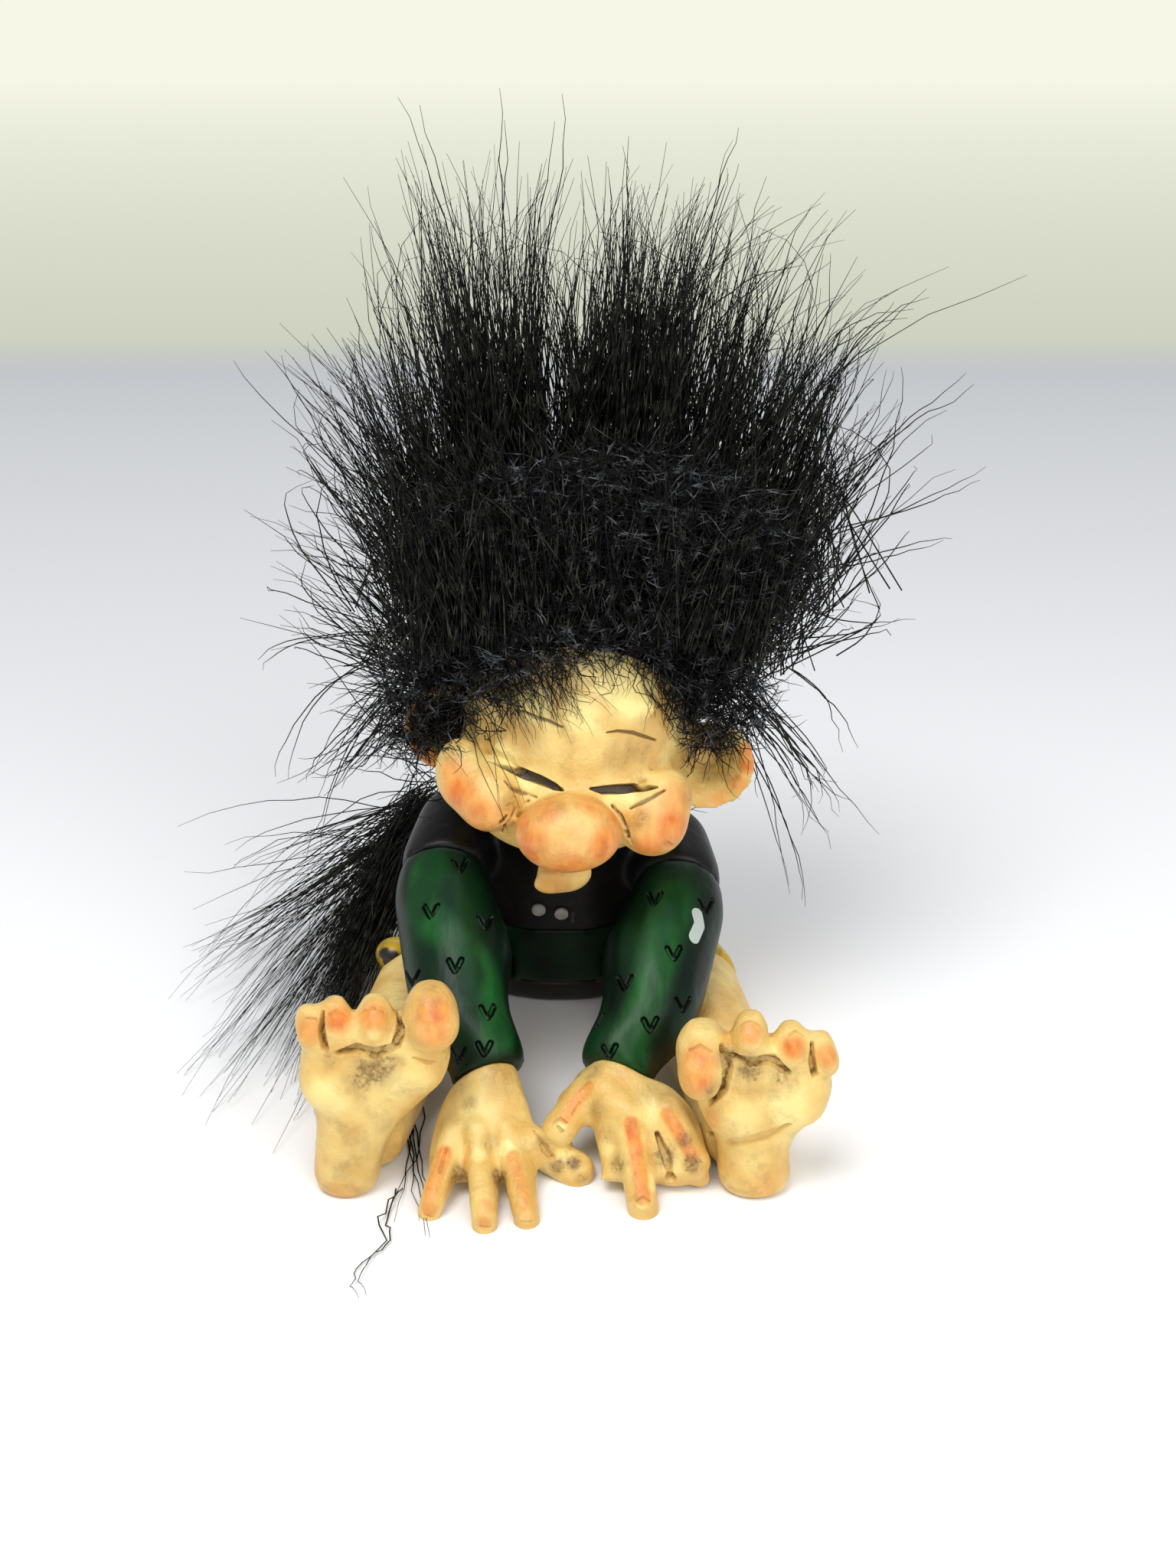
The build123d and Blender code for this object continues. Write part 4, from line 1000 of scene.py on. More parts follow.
hairSettings = {
    "seed": 11,
    "headMiddle": (1.7, -15.4, 35.6),
    "skull": (10.4, 10.8, 11.8),          # half sizes under the fur's backing, mm
    "coreMiddle": (5.2, -8.8, 47.6),
    "coreHalf": (15.6, 10.6, 11.0),
    "hairline": (0, -6.6, 8.8),           # a point on the brow's edge, from the head's middle
    "hairlineSlope": (0, 16.4, 10.8),
    "thickness": 0.145,
    "kink": 0.28,
    # tufts as the photograph shows them: root pixel, waist pixel, tip pixel, half widths at the three,
    # hairs, depth of root and tip in mm
    "tufts": [
        ((650, 760), (622, 520), (572, 185), (55, 30, 42), 150, (-10, -8)),
        ((680, 760), (668, 500), (690, 195), (50, 28, 42), 160, (-12, -11)),
        ((610, 770), (560, 540), (505, 300), (50, 38, 45), 95, (-8, -6)),
        ((590, 790), (520, 610), (470, 430), (40, 42, 52), 70, (-9, -9)),
        ((575, 810), (495, 680), (440, 560), (40, 44, 56), 44, (-10, -12)),
        ((565, 850), (480, 770), (420, 660), (34, 44, 62), 24, (-11, -13)),
        ((560, 880), (480, 850), (410, 790), (32, 44, 70), 14, (-12, -14)),
        ((745, 750), (735, 620), (735, 530), (45, 45, 45), 80, (-13, -12)),
        ((790, 750), (808, 480), (826, 205), (55, 32, 36), 190, (-12, -10)),
        ((850, 750), (862, 480), (905, 235), (50, 38, 52), 150, (-10, -8)),
        ((765, 740), (762, 530), (758, 340), (30, 24, 34), 60, (-6, -2)),
        ((910, 760), (950, 510), (1000, 270), (48, 36, 50), 125, (-10, -7)),
        ((950, 770), (1010, 570), (1075, 400), (45, 36, 52), 115, (-9, -8)),
        ((985, 780), (1050, 600), (1115, 420), (40, 38, 55), 66, (-10, -9)),
        ((1000, 800), (1080, 660), (1150, 520), (42, 44, 60), 44, (-11, -12)),
        ((1005, 840), (1085, 740), (1150, 640), (36, 44, 60), 24, (-11, -13)),
        ((1005, 870), (1080, 820), (1150, 760), (34, 44, 66), 14, (-12, -13)),
        ((945, 880), (1030, 985), (1060, 1090), (24, 36, 60), 18, (-11, -8)),
        ((560, 890), (505, 980), (440, 1040), (22, 30, 60), 20, (-11, -9)),
        ((600, 850), (570, 720), (545, 600), (36, 42, 50), 130, (-19, -14)),
        ((660, 850), (645, 700), (625, 560), (36, 42, 50), 150, (-20, -15)),
        ((730, 840), (722, 690), (705, 545), (36, 42, 50), 150, (-20, -15)),
        ((800, 835), (802, 690), (800, 535), (36, 42, 50), 150, (-20, -15)),
        ((870, 840), (884, 700), (895, 545), (36, 42, 50), 150, (-20, -15)),
        ((930, 850), (960, 710), (990, 570), (36, 42, 50), 130, (-19, -14)),
        ((975, 870), (1015, 740), (1045, 610), (32, 40, 50), 80, (-18, -13)),
        ((565, 870), (535, 750), (510, 620), (32, 40, 50), 80, (-18, -13)),
        ((700, 740), (600, 450), (600, 230), (60, 60, 80), 90, (-5, 0)),
        ((800, 740), (840, 450), (880, 260), (80, 80, 110), 130, (-3, 3)),
        ((900, 760), (1010, 520), (1080, 330), (70, 70, 90), 100, (-4, 1)),
        ((650, 780), (530, 610), (480, 450), (50, 56, 80), 70, (-7, -4)),
        ((950, 800), (1060, 640), (1120, 500), (50, 56, 80), 66, (-7, -4)),
    ],
    # single long hairs that reach past the tufts: points in pixels, depth in mm
    "strays": [
        ([(640, 520), (590, 330), (550, 148)], -8), ([(655, 480), (662, 300), (663, 145)], -11),
        ([(680, 480), (705, 320), (735, 150)], -11), ([(560, 560), (535, 400), (491, 275)], -7),
        ([(520, 600), (440, 540), (370, 462)], -9), ([(500, 700), (440, 660), (404, 584)], -10),
        ([(520, 760), (430, 745), (381, 706)], -12), ([(540, 830), (420, 810), (350, 842), (330, 872)], -13),
        ([(520, 860), (400, 870), (362, 925), (372, 1000)], -12),
        ([(530, 880), (450, 900), (410, 1020)], -10), ([(520, 900), (440, 940), (412, 1118)], -6),
        ([(540, 870), (470, 830), (360, 850)], -14), ([(860, 480), (910, 280), (956, 178)], -8),
        ([(880, 480), (940, 320), (980, 220)], -8), ([(960, 520), (1020, 370), (1066, 256)], -7),
        ([(1020, 600), (1110, 460), (1203, 381)], -9), ([(1040, 560), (1120, 440), (1173, 398)], -9),
        ([(1060, 640), (1190, 560), (1252, 500)], -11), ([(1060, 700), (1200, 660), (1273, 620)], -12),
        ([(1050, 740), (1150, 740), (1222, 700)], -13), ([(1040, 830), (1110, 830), (1178, 812)], -13),
        ([(1030, 880), (1080, 900), (1122, 965)], -12), ([(950, 900), (1040, 1020), (1082, 1080)], -10),
        ([(940, 900), (1025, 1050), (1056, 1182)], -9), ([(950, 900), (1010, 1040), (1040, 1150)], -9),
        ([(820, 460), (818, 300), (828, 178)], -10), ([(740, 520), (742, 400), (738, 330)], -6),
        ([(940, 500), (930, 380), (888, 300)], -9), ([(900, 460), (960, 380), (1050, 345)], -8),
        ([(1000, 600), (1060, 420), (1170, 400)], -7),
    ],
    # curly hairs over the forehead and the ears: pixels, and how many grow along them
    "fringe": [
        ([(600, 870), (650, 905), (668, 960)], 26), ([(640, 850), (680, 890), (700, 935)], 30),
        ([(690, 850), (720, 885), (735, 950)], 24), ([(735, 850), (745, 880), (770, 905)], 16),
        ([(800, 838), (806, 870), (800, 905)], 7), ([(870, 860), (880, 900), (890, 945)], 30),
        ([(560, 880), (560, 940), (590, 975)], 40), ([(530, 870), (525, 930), (545, 985)], 36),
        ([(900, 890), (930, 940), (950, 985)], 40), ([(940, 890), (965, 935), (975, 975)], 24),
        ([(600, 900), (640, 960), (672, 1062)], 5), ([(850, 850), (868, 890), (872, 925)], 10),
    ],
}
tuftSettings = {
    "hairsPerLock": 12,
    "fewestLocks": 3,
    "lockSpread": (0.6, 1),          # across in half widths, and in depth
    "loose": (0.42, 1.2),            # a hair's spread round its lock: the least, and how much more
    "tipPower": 1.15,                # a few more short hairs than long ones
    "bundle": (1.0, 0.75, 1.0),      # how far a lock keeps its place at root, waist and tip
    "rowSpread": 8,                  # pixels up and down
    "depthSpread": 2.0,              # mm
    "lockDepth": 3.2,
    "lift": 0.75,
    "pull": (0.22, 0.3),
    "steps": 9,
}
straySettings = {
    "spreads": ((5, 5), (14, 17)),   # pixels across and up, for each of the hairs
    "depthSpread": 1.5,
    "lift": 0.8,
    "pull": 0.4,
    "steps": 11,
    "kink": 0.2,
}
chance = random.Random(hairSettings["seed"])
headMiddle = Vector(hairSettings["headMiddle"]) * mm
coreMiddle = Vector(hairSettings["coreMiddle"]) * mm
hairlinePoint = headMiddle + Vector(hairSettings["hairline"]) * mm
hairlineNormal = Vector(hairSettings["hairlineSlope"]).normalized()


def pixelSpot(pixel, depth):
    return pixelAtDepth(pixel[0], pixel[1], depth * mm)


longStrands = []
for rootPixel, waistPixel, tipPixel, widths, hairs, depths in hairSettings["tufts"]:
    acrossSpread, deepSpread = tuftSettings["lockSpread"]
    lockCount = max(tuftSettings["fewestLocks"], hairs // tuftSettings["hairsPerLock"])
    locks = [(chance.gauss(0, acrossSpread), chance.gauss(0, deepSpread)) for lock in range(lockCount)]
    for index in range(hairs):
        across, deep = chance.choice(locks)
        loose = tuftSettings["loose"][0] + tuftSettings["loose"][1] * chance.random() ** 2
        share = chance.uniform(0, 1) ** tuftSettings["tipPower"]
        spots = []
        for pixel, width, bundle in zip((rootPixel, waistPixel, tipPixel), widths, tuftSettings["bundle"]):
            px = pixel[0] + (across * bundle + chance.gauss(0, loose)) * width
            spots.append((px, pixel[1] + chance.gauss(0, tuftSettings["rowSpread"])))
        depth = depths[0] + chance.gauss(0, tuftSettings["depthSpread"])
        far = depths[1] + (deep * tuftSettings["lockDepth"] + chance.gauss(0, tuftSettings["depthSpread"]))
        root = pixelSpot(spots[0], depth)
        waist = pixelSpot(spots[1], (depth + far) / 2)
        tip = waist + (pixelSpot(spots[2], far) - waist) * share
        lift = root + (waist - root) * tuftSettings["lift"]
        pull = waist + (waist - root) * tuftSettings["pull"][0] + (tip - waist) * tuftSettings["pull"][1]
        form = (tuftSettings["steps"], hairSettings["kink"], chance)
        longStrands.append(bentStrand(root, lift, pull, tip, *form))
for pixels, depth in hairSettings["strays"]:
    for spreadAcross, spreadUp in straySettings["spreads"]:
        spots = []
        for px, py in pixels:
            pixel = (px + chance.gauss(0, spreadAcross), py + chance.gauss(0, spreadUp))
            spots.append(pixelSpot(pixel, depth + chance.gauss(0, straySettings["depthSpread"])))
        lift = spots[0].lerp(spots[1], straySettings["lift"])
        pull = spots[-2].lerp(spots[-1], straySettings["pull"])
        form = (straySettings["steps"], straySettings["kink"], chance)
        longStrands.append(bentStrand(spots[0], lift, pull, spots[-1], *form))

# the back and the sides of the head, which the photograph doesn't show
backSettings = {
    "tufts": 46,
    "hairs": 34,
    "turns": (-88, 88),       # degrees round the back of the head
    "rises": (-25, 80),       # degrees up from level
    "reach": (25, 16, 3),     # mm, and how much more upwards and sideways
    "rootSpread": 0.3,
    "tipSpread": 0.13,
    "tipLift": 0.12,
    "frontEdge": 2,           # mm in front of the head's middle
    "lengths": (0.5, 1.0),
    "lengthPower": 0.7,
    "lie": (0.84, 0.40, 0.25),   # share of the length, less straight back, and less at the sides
    "lift": 0.3,
    "pull": 0.7,
    "sweep": 0.06,
    "steps": 8,
}
backTufts = []
for index in range(backSettings["tufts"]):
    turn, rise = chance.uniform(*backSettings["turns"]), chance.uniform(*backSettings["rises"])
    a, b = math.radians(turn), math.radians(rise)
    backTufts.append(Vector((math.sin(a) * math.cos(b), math.cos(a) * math.cos(b), math.sin(b))))
for aim in backTufts:
    upward, backward = max(0, aim.z), max(0, aim.y)
    plainReach, upReach, sideReach = backSettings["reach"]
    reach = plainReach + upReach * upward + sideReach * abs(aim.x)
    fullLie, backLie, sideLie = backSettings["lie"]
    lie = fullLie - backLie * backward - sideLie * abs(aim.x) * (1 - upward)
    for index in range(backSettings["hairs"]):
        rootAim = (aim + scatter(chance, [backSettings["rootSpread"]] * 3)).normalized()
        root = headMiddle + Vector([rootAim[i] * hairSettings["skull"][i] * mm for i in range(3)])
        if root.y < headMiddle.y - backSettings["frontEdge"] * mm:
            continue
        tipBend = scatter(chance, [backSettings["tipSpread"]] * 3, (0, 0, backSettings["tipLift"]))
        tipAim = (aim + tipBend).normalized()
        size = reach * chance.uniform(*backSettings["lengths"]) ** backSettings["lengthPower"]
        tip = root + tipAim * size * mm * lie
        lift = root + (root - headMiddle).normalized() * size * backSettings["lift"] * mm
        pull = root.lerp(tip, backSettings["pull"]) + Vector((0, 0, size * backSettings["sweep"] * mm))
        form = (backSettings["steps"], hairSettings["kink"], chance)
        longStrands.append(bentStrand(root, lift, pull, tip, *form))
strandThirds("hairStrands", longStrands, hairSettings["thickness"], furPaints["dyedFurLongGlinting"])
print("long hair grown:", len(longStrands))

# the dark thick of the fur, which the strands come out of, painted matt near-black as the deep shade inside
# the fur
thickSettings = {
    "bumps": (5.0, 0.9, 2.1, 4),   # how close, then roughness, lacunarity and octaves
    "bumpShare": 0.07,
    "skullShare": 1.04,
    "backEdge": 0.2,               # mm behind the hairline
}
closeness, *bumpForm = thickSettings["bumps"]
work = bmesh.new()
bmesh.ops.create_icosphere(work, subdivisions=5, radius=1)
for vert in work.verts:
    bump = noise.fractal(vert.co * closeness, *bumpForm) * thickSettings["bumpShare"]
    direction = vert.co.normalized()
    swollen = Vector([direction[i] * hairSettings["coreHalf"][i] * mm for i in range(3)]) * (1 + bump)
    vert.co = coreMiddle + swollen
skullHalf = [half * thickSettings["skullShare"] * mm for half in hairSettings["skull"]]
skullShape = Matrix.Translation(headMiddle) @ Matrix.Diagonal(skullHalf + [1])
bmesh.ops.create_icosphere(work, subdivisions=4, radius=1, matrix=skullShape)
cutPoint = hairlinePoint - hairlineNormal * thickSettings["backEdge"] * mm
bmesh.ops.bisect_plane(
    work, geom=work.verts[:] + work.edges[:] + work.faces[:],
    plane_co=cutPoint, plane_no=hairlineNormal, clear_inner=True)
bmesh.ops.holes_fill(work, edges=[e for e in work.edges if e.is_boundary])
bmesh.ops.recalc_face_normals(work, faces=work.faces)
for face in work.faces:
    face.smooth = True
coreMesh = bpy.data.meshes.new("hairThick")
work.to_mesh(coreMesh)
work.free()
hairThick = bpy.data.objects.new("hairThick", coreMesh)
scene.collection.objects.link(hairThick)
coreMesh.materials.append(furPaints["furThickShade"])
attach(hairThick, "root")
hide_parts("hair", "hair_pelt")

# short crumpled hairs over the thick of the fur, in a band round the brow and thinner above
fuzzSettings = {
    "thickness": 0.12,
    "hairs": 5600,
    "spread": (1, 1, 0.85),
    "middle": (0, -0.3, -0.5),     # more of them in front and low down
    "stand": (0.9, 1.16),          # shares of the core's half sizes
    "clearance": 0.6,              # mm below the hairline
    "outward": (-0.1, 0.9),
    "lengths": (1.5, 6.5),
    "steps": 5,
    "curl": 0.32,
}
fuzzStrands = []
while len(fuzzStrands) < fuzzSettings["hairs"]:
    aim = scatter(chance, fuzzSettings["spread"], fuzzSettings["middle"]).normalized()
    half = hairSettings["coreHalf"]
    stand = [chance.uniform(*fuzzSettings["stand"]) for axis in range(3)]
    start = coreMiddle + Vector([aim[i] * half[i] * mm * stand[i] for i in range(3)])
    if (start - hairlinePoint).dot(hairlineNormal) < -fuzzSettings["clearance"] * mm:
        continue
    side = aim.cross(scatter(chance, (1, 1, 1))).normalized()
    aim = side + aim * chance.uniform(*fuzzSettings["outward"])
    size = chance.uniform(*fuzzSettings["lengths"]) * mm
    fuzzStrands.append(curlyStrand(start, aim, size, fuzzSettings["steps"], fuzzSettings["curl"], chance))

# the fur's lower edge stands off the brow and the temples
rimSettings = {
    "hairs": 1500,
    "turns": (-2.2, 2.2),          # radians from straight ahead
    "half": (11.0, 6.4),           # mm across and deep
    "forward": 1.0,
    "height": 8.4,
    "sink": (3.4, 2.2),            # mm lower towards the back, and at the sides
    "heightSpread": 1.0,
    "outForward": 3,
    "outSpread": (1.5, 2),
    "aimSpread": (0.9, 0.5, 0.9),
    "lengths": (2, 6),
    "steps": 6,
    "curl": 0.42,
}
for index in range(rimSettings["hairs"]):
    turn = chance.uniform(*rimSettings["turns"])
    halfAcross, halfDeep = rimSettings["half"]
    backSink, sideSink = rimSettings["sink"]
    height = rimSettings["height"] - backSink * (1 - math.cos(turn)) - sideSink * abs(math.sin(turn))
    height += chance.gauss(0, rimSettings["heightSpread"])
    rim = Vector((math.sin(turn) * halfAcross, -math.cos(turn) * halfDeep + rimSettings["forward"], height))
    tilt = rimSettings["outSpread"][0] * chance.gauss(0, rimSettings["outSpread"][1])
    out = Vector((rim.x, rim.y - rimSettings["outForward"], tilt)).normalized()
    aim = out + scatter(chance, rimSettings["aimSpread"])
    size = chance.uniform(*rimSettings["lengths"]) * mm
    form = (rimSettings["steps"], rimSettings["curl"], chance)
    fuzzStrands.append(curlyStrand(headMiddle + rim * mm, aim, size, *form))

# loose crossing hairs in front of the rising ones
crossingSettings = {
    "hairs": 2600,
    "turns": (0, 6.283),           # radians round the middle
    "middlePixel": (795, 735),
    "halfPixels": (245, 150),
    "depth": -19.5,                # mm, and how much further back at the sides
    "depthSpread": 0.8,
    "sideDepth": 6,
    "aim": (0, -0.1, 0.1),
    "aimSpread": (1, 0.25, 0.6),
    "lengths": (1.5, 6),
    "steps": 5,
    "curl": 0.25,
}
for index in range(crossingSettings["hairs"]):
    turn, out = chance.uniform(*crossingSettings["turns"]), chance.random() ** 0.5
    across, up = out * math.cos(turn), out * math.sin(turn)
    (middleX, middleY), (halfX, halfY) = crossingSettings["middlePixel"], crossingSettings["halfPixels"]
    depth = crossingSettings["depth"] + chance.gauss(0, crossingSettings["depthSpread"])
    depth += crossingSettings["sideDepth"] * across ** 2
    start = pixelSpot((middleX + halfX * across, middleY + halfY * up), depth)
    aim = scatter(chance, crossingSettings["aimSpread"], crossingSettings["aim"])
    size = chance.uniform(*crossingSettings["lengths"]) * mm
    form = (crossingSettings["steps"], crossingSettings["curl"], chance)
    fuzzStrands.append(curlyStrand(start, aim, size, *form))
strandThirds("hairFuzz", fuzzStrands, fuzzSettings["thickness"], furPaints["dyedFurShortGlinting"])

# fur that hangs over the brow's edge and the ears: outlines in pixels, hairs, how far it stands off the skin
browFur = [
    ([(590, 985), (520, 985), (500, 880), (560, 820), (700, 800), (815, 822), (812, 846), (740, 862),
      (660, 890), (622, 930)], 2300, 3.2),
    ([(812, 846), (815, 820), (900, 810), (990, 850), (1000, 930), (975, 962), (930, 985), (896, 975),
      (884, 930), (866, 870)], 1700, 3.2),
    ([(610, 960), (640, 905), (740, 862), (812, 850), (770, 880), (700, 905), (660, 960)], 110, 1.4),
]
browSettings = {
    "thickness": 0.12,
    "behind": -9,                  # mm: skin further back than this isn't the face
    "offFace": -16,                # depth of hairs that hang beside it
    "nearest": 0.1,
    "aim": (0, -0.1, -0.1),
    "aimSpread": (1, 0.35, 0.8),
    "lengths": (2, 5.5),
    "steps": 6,
    "curl": 0.42,
}


def insideOutline(px, py, outline):
    inside = False
    for (x1, y1), (x2, y2) in zip(outline, outline[1:] + outline[:1]):
        if (y1 > py) != (y2 > py) and px < (x2 - x1) * (py - y1) / (y2 - y1) + x1:
            inside = not inside
    return inside


skullTree = treeOf(head)
browStrands = []
for outline, hairs, rise in browFur:
    lowX, highX = min(p[0] for p in outline), max(p[0] for p in outline)
    lowY, highY = min(p[1] for p in outline), max(p[1] for p in outline)
    for index in range(hairs):
        px, py = chance.uniform(lowX, highX), chance.uniform(lowY, highY)
        if not insideOutline(px, py, outline):
            continue
        start, ray = pixelRay(px, py)
        place, normal, face, gap = skullTree.ray_cast(start, ray)
        if place is None or place.y > browSettings["behind"] * mm:
            place = pixelSpot((px, py), browSettings["offFace"])
        root = place - ray * chance.uniform(browSettings["nearest"], rise) * mm
        aim = scatter(chance, browSettings["aimSpread"], browSettings["aim"])
        size = chance.uniform(*browSettings["lengths"]) * mm
        browStrands.append(curlyStrand(root, aim, size, browSettings["steps"], browSettings["curl"], chance))
strandPiece("hairBrow", browStrands, browSettings["thickness"], furPaints["dyedFurShortGlinting"])

# curly hairs that lie over the forehead
fringeSettings = {
    "thickness": 0.11,
    "shift": (22, 14),             # pixels across and down
    "rise": (0.3, 1.6),            # mm off the skin
    "phase": (0, 6.3),
    "swing": (3, 10),              # pixels
    "waves": (1.1, 0.9),           # radians a step, across and up
    "steps": 8,
    "fewestPoints": 4,             # on the skin
}
fringeStrands = []
for pixels, hairs in hairSettings["fringe"]:
    for index in range(hairs):
        shift = [chance.gauss(0, spread) for spread in fringeSettings["shift"]]
        rise = chance.uniform(*fringeSettings["rise"])
        phase, swing = chance.uniform(*fringeSettings["phase"]), chance.uniform(*fringeSettings["swing"])
        path = []
        for step in range(fringeSettings["steps"] + 1):
            t = step / fringeSettings["steps"] * (len(pixels) - 1)
            k = min(int(t), len(pixels) - 2)
            px = pixels[k][0] + (pixels[k + 1][0] - pixels[k][0]) * (t - k) + shift[0]
            py = pixels[k][1] + (pixels[k + 1][1] - pixels[k][1]) * (t - k) + shift[1]
            px += swing * math.sin(phase + step * fringeSettings["waves"][0])
            py += swing * math.cos(phase * 2 + step * fringeSettings["waves"][1])
            start, ray = pixelRay(px, py)
            place, normal, face, gap = skullTree.ray_cast(start, ray)
            if place is None:
                if path:
                    break
                continue
            path.append(place - ray * rise * mm)
        if len(path) >= fringeSettings["fewestPoints"]:
            fringeStrands.append(path)
strandPiece("hairFringe", fringeStrands, fringeSettings["thickness"], furPaints["dyedFurLongGlinting"])
print("short hair grown:", len(fuzzStrands), len(fringeStrands))

# tail tuft: long loose hairs that fan out over the floor
tailSettings = {
    "seed": 5,
    "stemTip": (-13.6, 9.0, 12.6),
    "thickness": 0.14,
    "floorGap": 0.15,              # mm: the lowest a hair's middle lies
    "heightSpread": (0.4, 0.15),   # mm, and a share of the height
    "rootSpread": (1.3, 1.3, 2.2),
    "lift": (0.28, (-0.4, 0, 1.6), (1.3, 1.3, 1.5)),   # share of the way, then mm off it and their spread
    "pull": (0.68, (0, 0, 1.4), (1.5, 1.5, 1.2)),
    "steps": 9,
    "kink": 0.3,
    "wispHairs": 2,
    "wispShift": 0.4,
    "wispJitter": 0.12,
    "wispRise": 0.3,
    "wispSteps": 4,
    # where a lock ends: pixel, height there in mm, half width in pixels, hairs
    "locks": [
        ((436, 1318), 0.5, 18, 170), ((452, 1258), 2.0, 15, 170), ((400, 1395), 0.4, 26, 36),
        ((425, 1440), 0.3, 22, 26), ((380, 1310), 1.0, 34, 42), ((345, 1370), 0.4, 36, 26),
        ((300, 1330), 0.5, 40, 20), ((258, 1250), 1.5, 22, 13), ((262, 1380), 0.3, 24, 12),
        ((306, 1130), 5.0, 24, 9), ((350, 1190), 4.0, 34, 18), ((400, 1160), 7.0, 30, 18),
        ((380, 1100), 9.0, 24, 8), ((306, 1450), 0.3, 24, 10), ((440, 1200), 6.0, 26, 40),
        ((330, 1240), 2.0, 36, 22),
    ],
    "wisps": [
        [(536, 1440), (548, 1530), (562, 1614)], [(530, 1450), (545, 1520), (553, 1590)],
        [(540, 1450), (528, 1520), (500, 1600)],
        [(520, 1548), (494, 1590), (503, 1618), (474, 1643), (458, 1674), (469, 1688)],
    ],
}
chance = random.Random(tailSettings["seed"])
stemTip = Vector(tailSettings["stemTip"]) * mm
liftShare, liftMiddle, liftSpread = tailSettings["lift"]
pullShare, pullMiddle, pullSpread = tailSettings["pull"]
tuftStrands = []
for pixel, height, width, hairs in tailSettings["locks"]:
    for index in range(hairs):
        spot = (pixel[0] + chance.gauss(0, width), pixel[1] + chance.gauss(0, width))
        heightSpread = tailSettings["heightSpread"][0] + height * tailSettings["heightSpread"][1]
        lying = max(tailSettings["floorGap"], height + chance.gauss(0, heightSpread))
        end = pixelOnFloor(spot[0], spot[1], lying * mm)
        start = stemTip + scatter(chance, tailSettings["rootSpread"]) * mm
        lift = start + (end - start) * liftShare + scatter(chance, liftSpread, liftMiddle) * mm
        pull = start + (end - start) * pullShare + scatter(chance, pullSpread, pullMiddle) * mm
        form = (tailSettings["steps"], tailSettings["kink"], chance)
        tuftStrands.append(bentStrand(start, lift, pull, end, *form))
for pixels in tailSettings["wisps"]:
    spots = [pixelOnFloor(px, py, tailSettings["floorGap"] * mm) for px, py in pixels]
    for index in range(tailSettings["wispHairs"]):
        shift = Vector([chance.gauss(0, tailSettings["wispShift"]) for axis in range(2)] + [0]) * mm
        path = []
        for first, second in zip(spots, spots[1:]):
            for step in range(tailSettings["wispSteps"]):
                aside = [chance.gauss(0, tailSettings["wispJitter"]) for axis in range(2)]
                aside.append(abs(chance.gauss(0, tailSettings["wispRise"])))
                path.append(first.lerp(second, step / tailSettings["wispSteps"]) + shift + Vector(aside) * mm)
        path.append(spots[-1] + shift)
        tuftStrands.append(path)
tailTuft = strandPiece("tailTuft", tuftStrands, tailSettings["thickness"], furPaints["dyedFurLongGlinting"])
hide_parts("tail_fur")
print("tail tuft grown:", len(tuftStrands))


# floor and light: matt paper that runs out to a pale wall, painted darker further back and paler up the wall
# as painted light falloff
stageSettings = {   # distances in metres from the figure
    # near to far, and wall low to top: painted light falloff on the paper
    "near": "#FBFCFE",
    "far": "#BFC2C6",
    "wallLow": "#CDD0BF",
    "wallTop": "#F6F7E6",
    "farRange": {"From Min": -0.04, "From Max": 0.27},
    "wallRange": {"From Min": 0.262, "From Max": 0.75},
    "edgeRange": {"From Min": 0.25, "From Max": 0.282},    # where the paper turns up into the wall
    "awayRange": {"From Min": 0.05, "From Max": 0.2},      # behind here the paper shows its colour unlit
    "outerRange": {"From Min": 0.3, "From Max": 0.7},      # and out here on every side
    "floorHalf": 3,
    "skyLight": 0.45,
    "skySeen": "#EEF0EA",
}
floorPaint, tree = newMaterial("stageFloor")
place = addNode(tree, "ShaderNodeTexCoord").outputs["Object"]
depth = addNode(tree, "ShaderNodeSeparateXYZ", {}, {"Vector": place}).outputs["Y"]
reach = addNode(tree, "ShaderNodeVectorMath", {"operation": "LENGTH"}, {0: place}).outputs["Value"]
# painted shade: the paper darker further back
farShadeShare = addNode(tree, "ShaderNodeMapRange", stageSettings["farRange"], {"Value": depth})
wallLightRise = addNode(tree, "ShaderNodeMapRange", stageSettings["wallRange"], {"Value": depth})
wallShare = addNode(tree, "ShaderNodeMapRange", stageSettings["edgeRange"], {"Value": depth})
away = addNode(tree, "ShaderNodeMapRange", stageSettings["awayRange"], {"Value": depth})
outer = addNode(tree, "ShaderNodeMapRange", stageSettings["outerRange"], {"Value": reach})
floorColour = addNode(
    tree, "ShaderNodeMix",
    {"data_type": "RGBA", 6: toLinear(stageSettings["near"]), 7: toLinear(stageSettings["far"])},
    {0: farShadeShare})
wallColour = addNode(
    tree, "ShaderNodeMix",
    {"data_type": "RGBA", 6: toLinear(stageSettings["wallLow"]), 7: toLinear(stageSettings["wallTop"])},
    {0: wallLightRise})
backColour = addNode(
    tree, "ShaderNodeMix", {"data_type": "RGBA"},
    {0: wallShare, 6: floorColour.outputs[2], 7: wallColour.outputs[2]})
paper = addNode(tree, "ShaderNodeBsdfDiffuse", {"Roughness": 0.5}, {"Color": floorColour.outputs[2]})
glow = addNode(tree, "ShaderNodeEmission", {"Strength": 1}, {"Color": backColour.outputs[2]})
rays = addNode(tree, "ShaderNodeLightPath")
straight = addNode(
    tree, "ShaderNodeMath", {"operation": "MAXIMUM"},
    {0: rays.outputs["Is Camera Ray"], 1: rays.outputs["Is Glossy Ray"]})
seen = addNode(
    tree, "ShaderNodeMath", {"operation": "MAXIMUM"}, {0: straight, 1: rays.outputs["Is Transmission Ray"]})
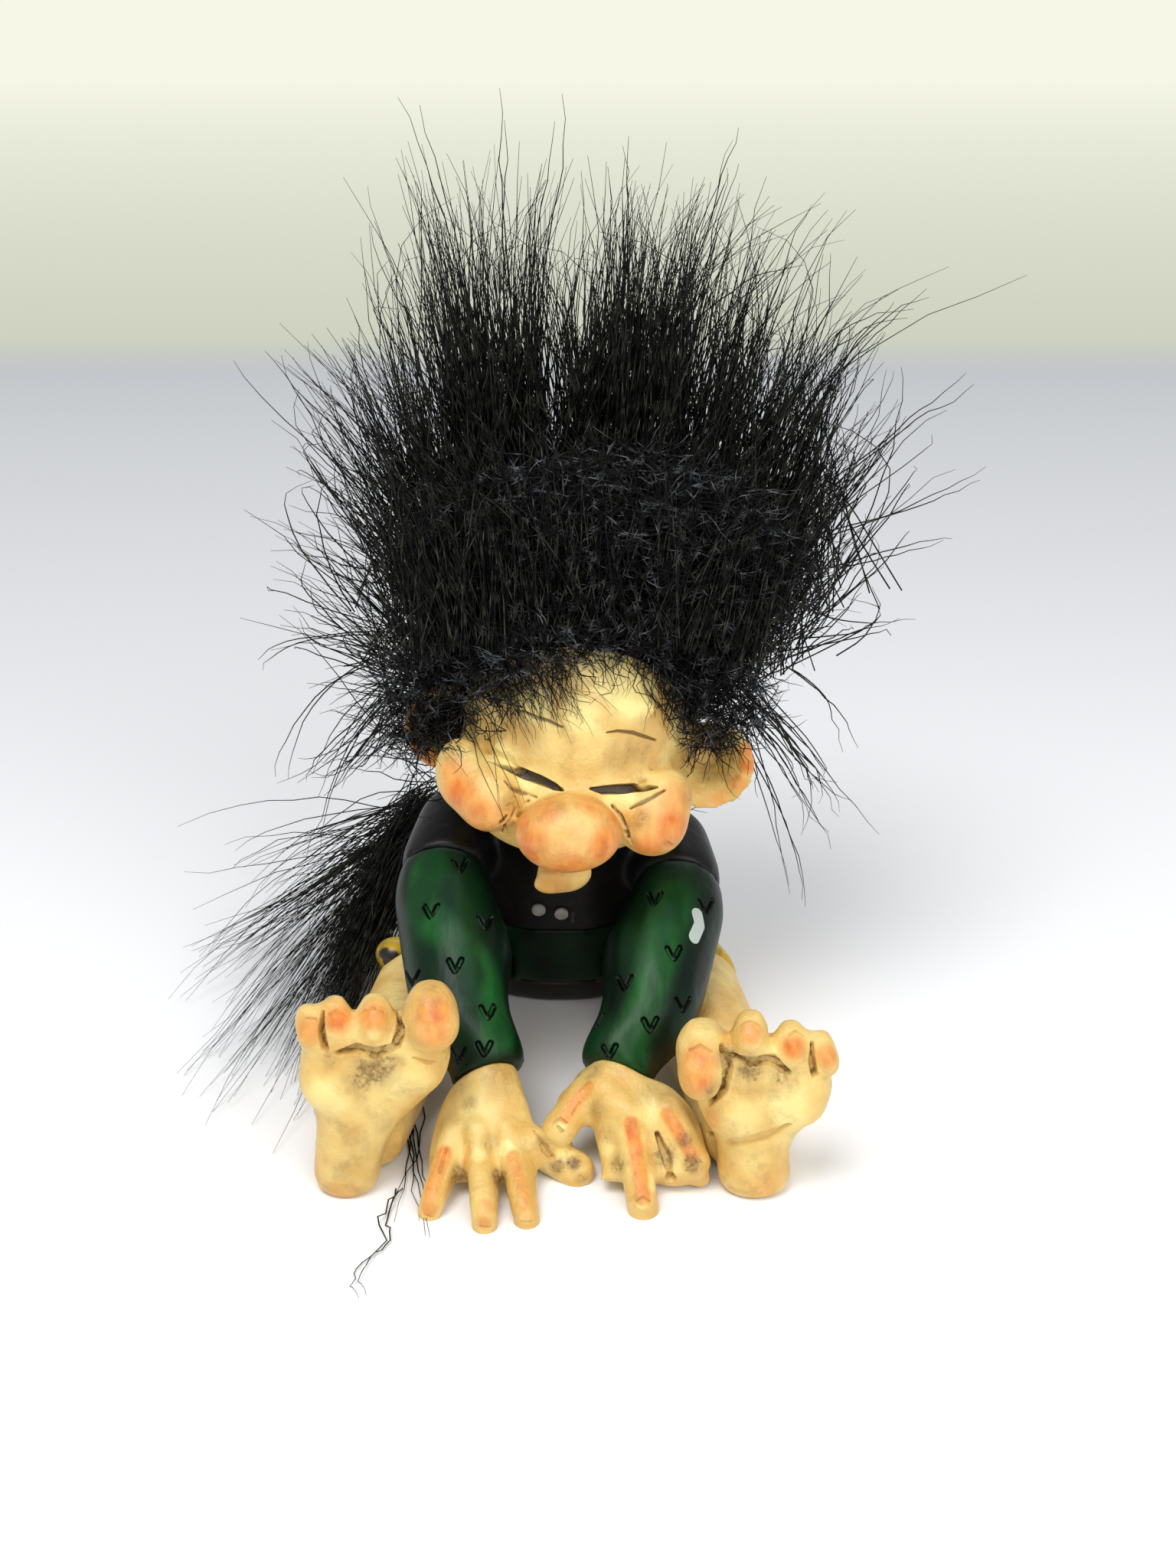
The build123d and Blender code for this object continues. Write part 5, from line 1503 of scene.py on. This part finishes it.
# floor beyond the lamps' reach
unlit = addNode(tree, "ShaderNodeMath", {"operation": "MAXIMUM"}, {0: away, 1: outer})
glowShare = addNode(tree, "ShaderNodeMath", {"operation": "MULTIPLY"}, {0: seen, 1: unlit})
surface = addNode(tree, "ShaderNodeMixShader", {}, {0: glowShare, 1: paper, 2: glow})
addNode(tree, "ShaderNodeOutputMaterial", {}, {"Surface": surface})
work = bmesh.new()
bmesh.ops.create_grid(work, x_segments=1, y_segments=1, size=stageSettings["floorHalf"])
floorMesh = bpy.data.meshes.new("floor")
work.to_mesh(floorMesh)
work.free()
floor = bpy.data.objects.new("floor", floorMesh)
scene.collection.objects.link(floor)
floorMesh.materials.append(floorPaint)

world = bpy.data.worlds.new("studio")
scene.world = world
world.use_nodes = True
world.node_tree.nodes.clear()
skyLight = {"Color": (1, 1, 1, 1), "Strength": stageSettings["skyLight"]}
light = addNode(world.node_tree, "ShaderNodeBackground", skyLight)
pale = addNode(
    world.node_tree, "ShaderNodeBackground", {"Color": toLinear(stageSettings["skySeen"]), "Strength": 1})
rays = addNode(world.node_tree, "ShaderNodeLightPath")
sky = addNode(
    world.node_tree, "ShaderNodeMixShader", {}, {0: rays.outputs["Is Camera Ray"], 1: light, 2: pale})
addNode(world.node_tree, "ShaderNodeOutputWorld", {}, {"Surface": sky})


def softBox(name, place, aim, size, power):
    lamp = bpy.data.lights.new(name, "AREA")
    lamp.shape = "SQUARE"
    lamp.size = size
    lamp.energy = power
    box = bpy.data.objects.new(name, lamp)
    box.location = place
    box.rotation_euler = (Vector(aim) - Vector(place)).to_track_quat("-Z", "Y").to_euler()
    scene.collection.objects.link(box)


lampSettings = {   # place, aim and size in metres, power in watts
    "keyLight": ((-0.10, -0.22, 0.46), (0, -0.02, 0.03), 0.22, 1.22),
    "fillLight": ((0.17, -0.33, 0.24), (0, -0.02, 0.03), 0.30, 0.6),
    "backLight": ((0.05, 0.30, 0.35), (0, 0, 0.05), 0.25, 0.35),
}
for name, settings in lampSettings.items():
    softBox(name, *settings)
print("stage lit")
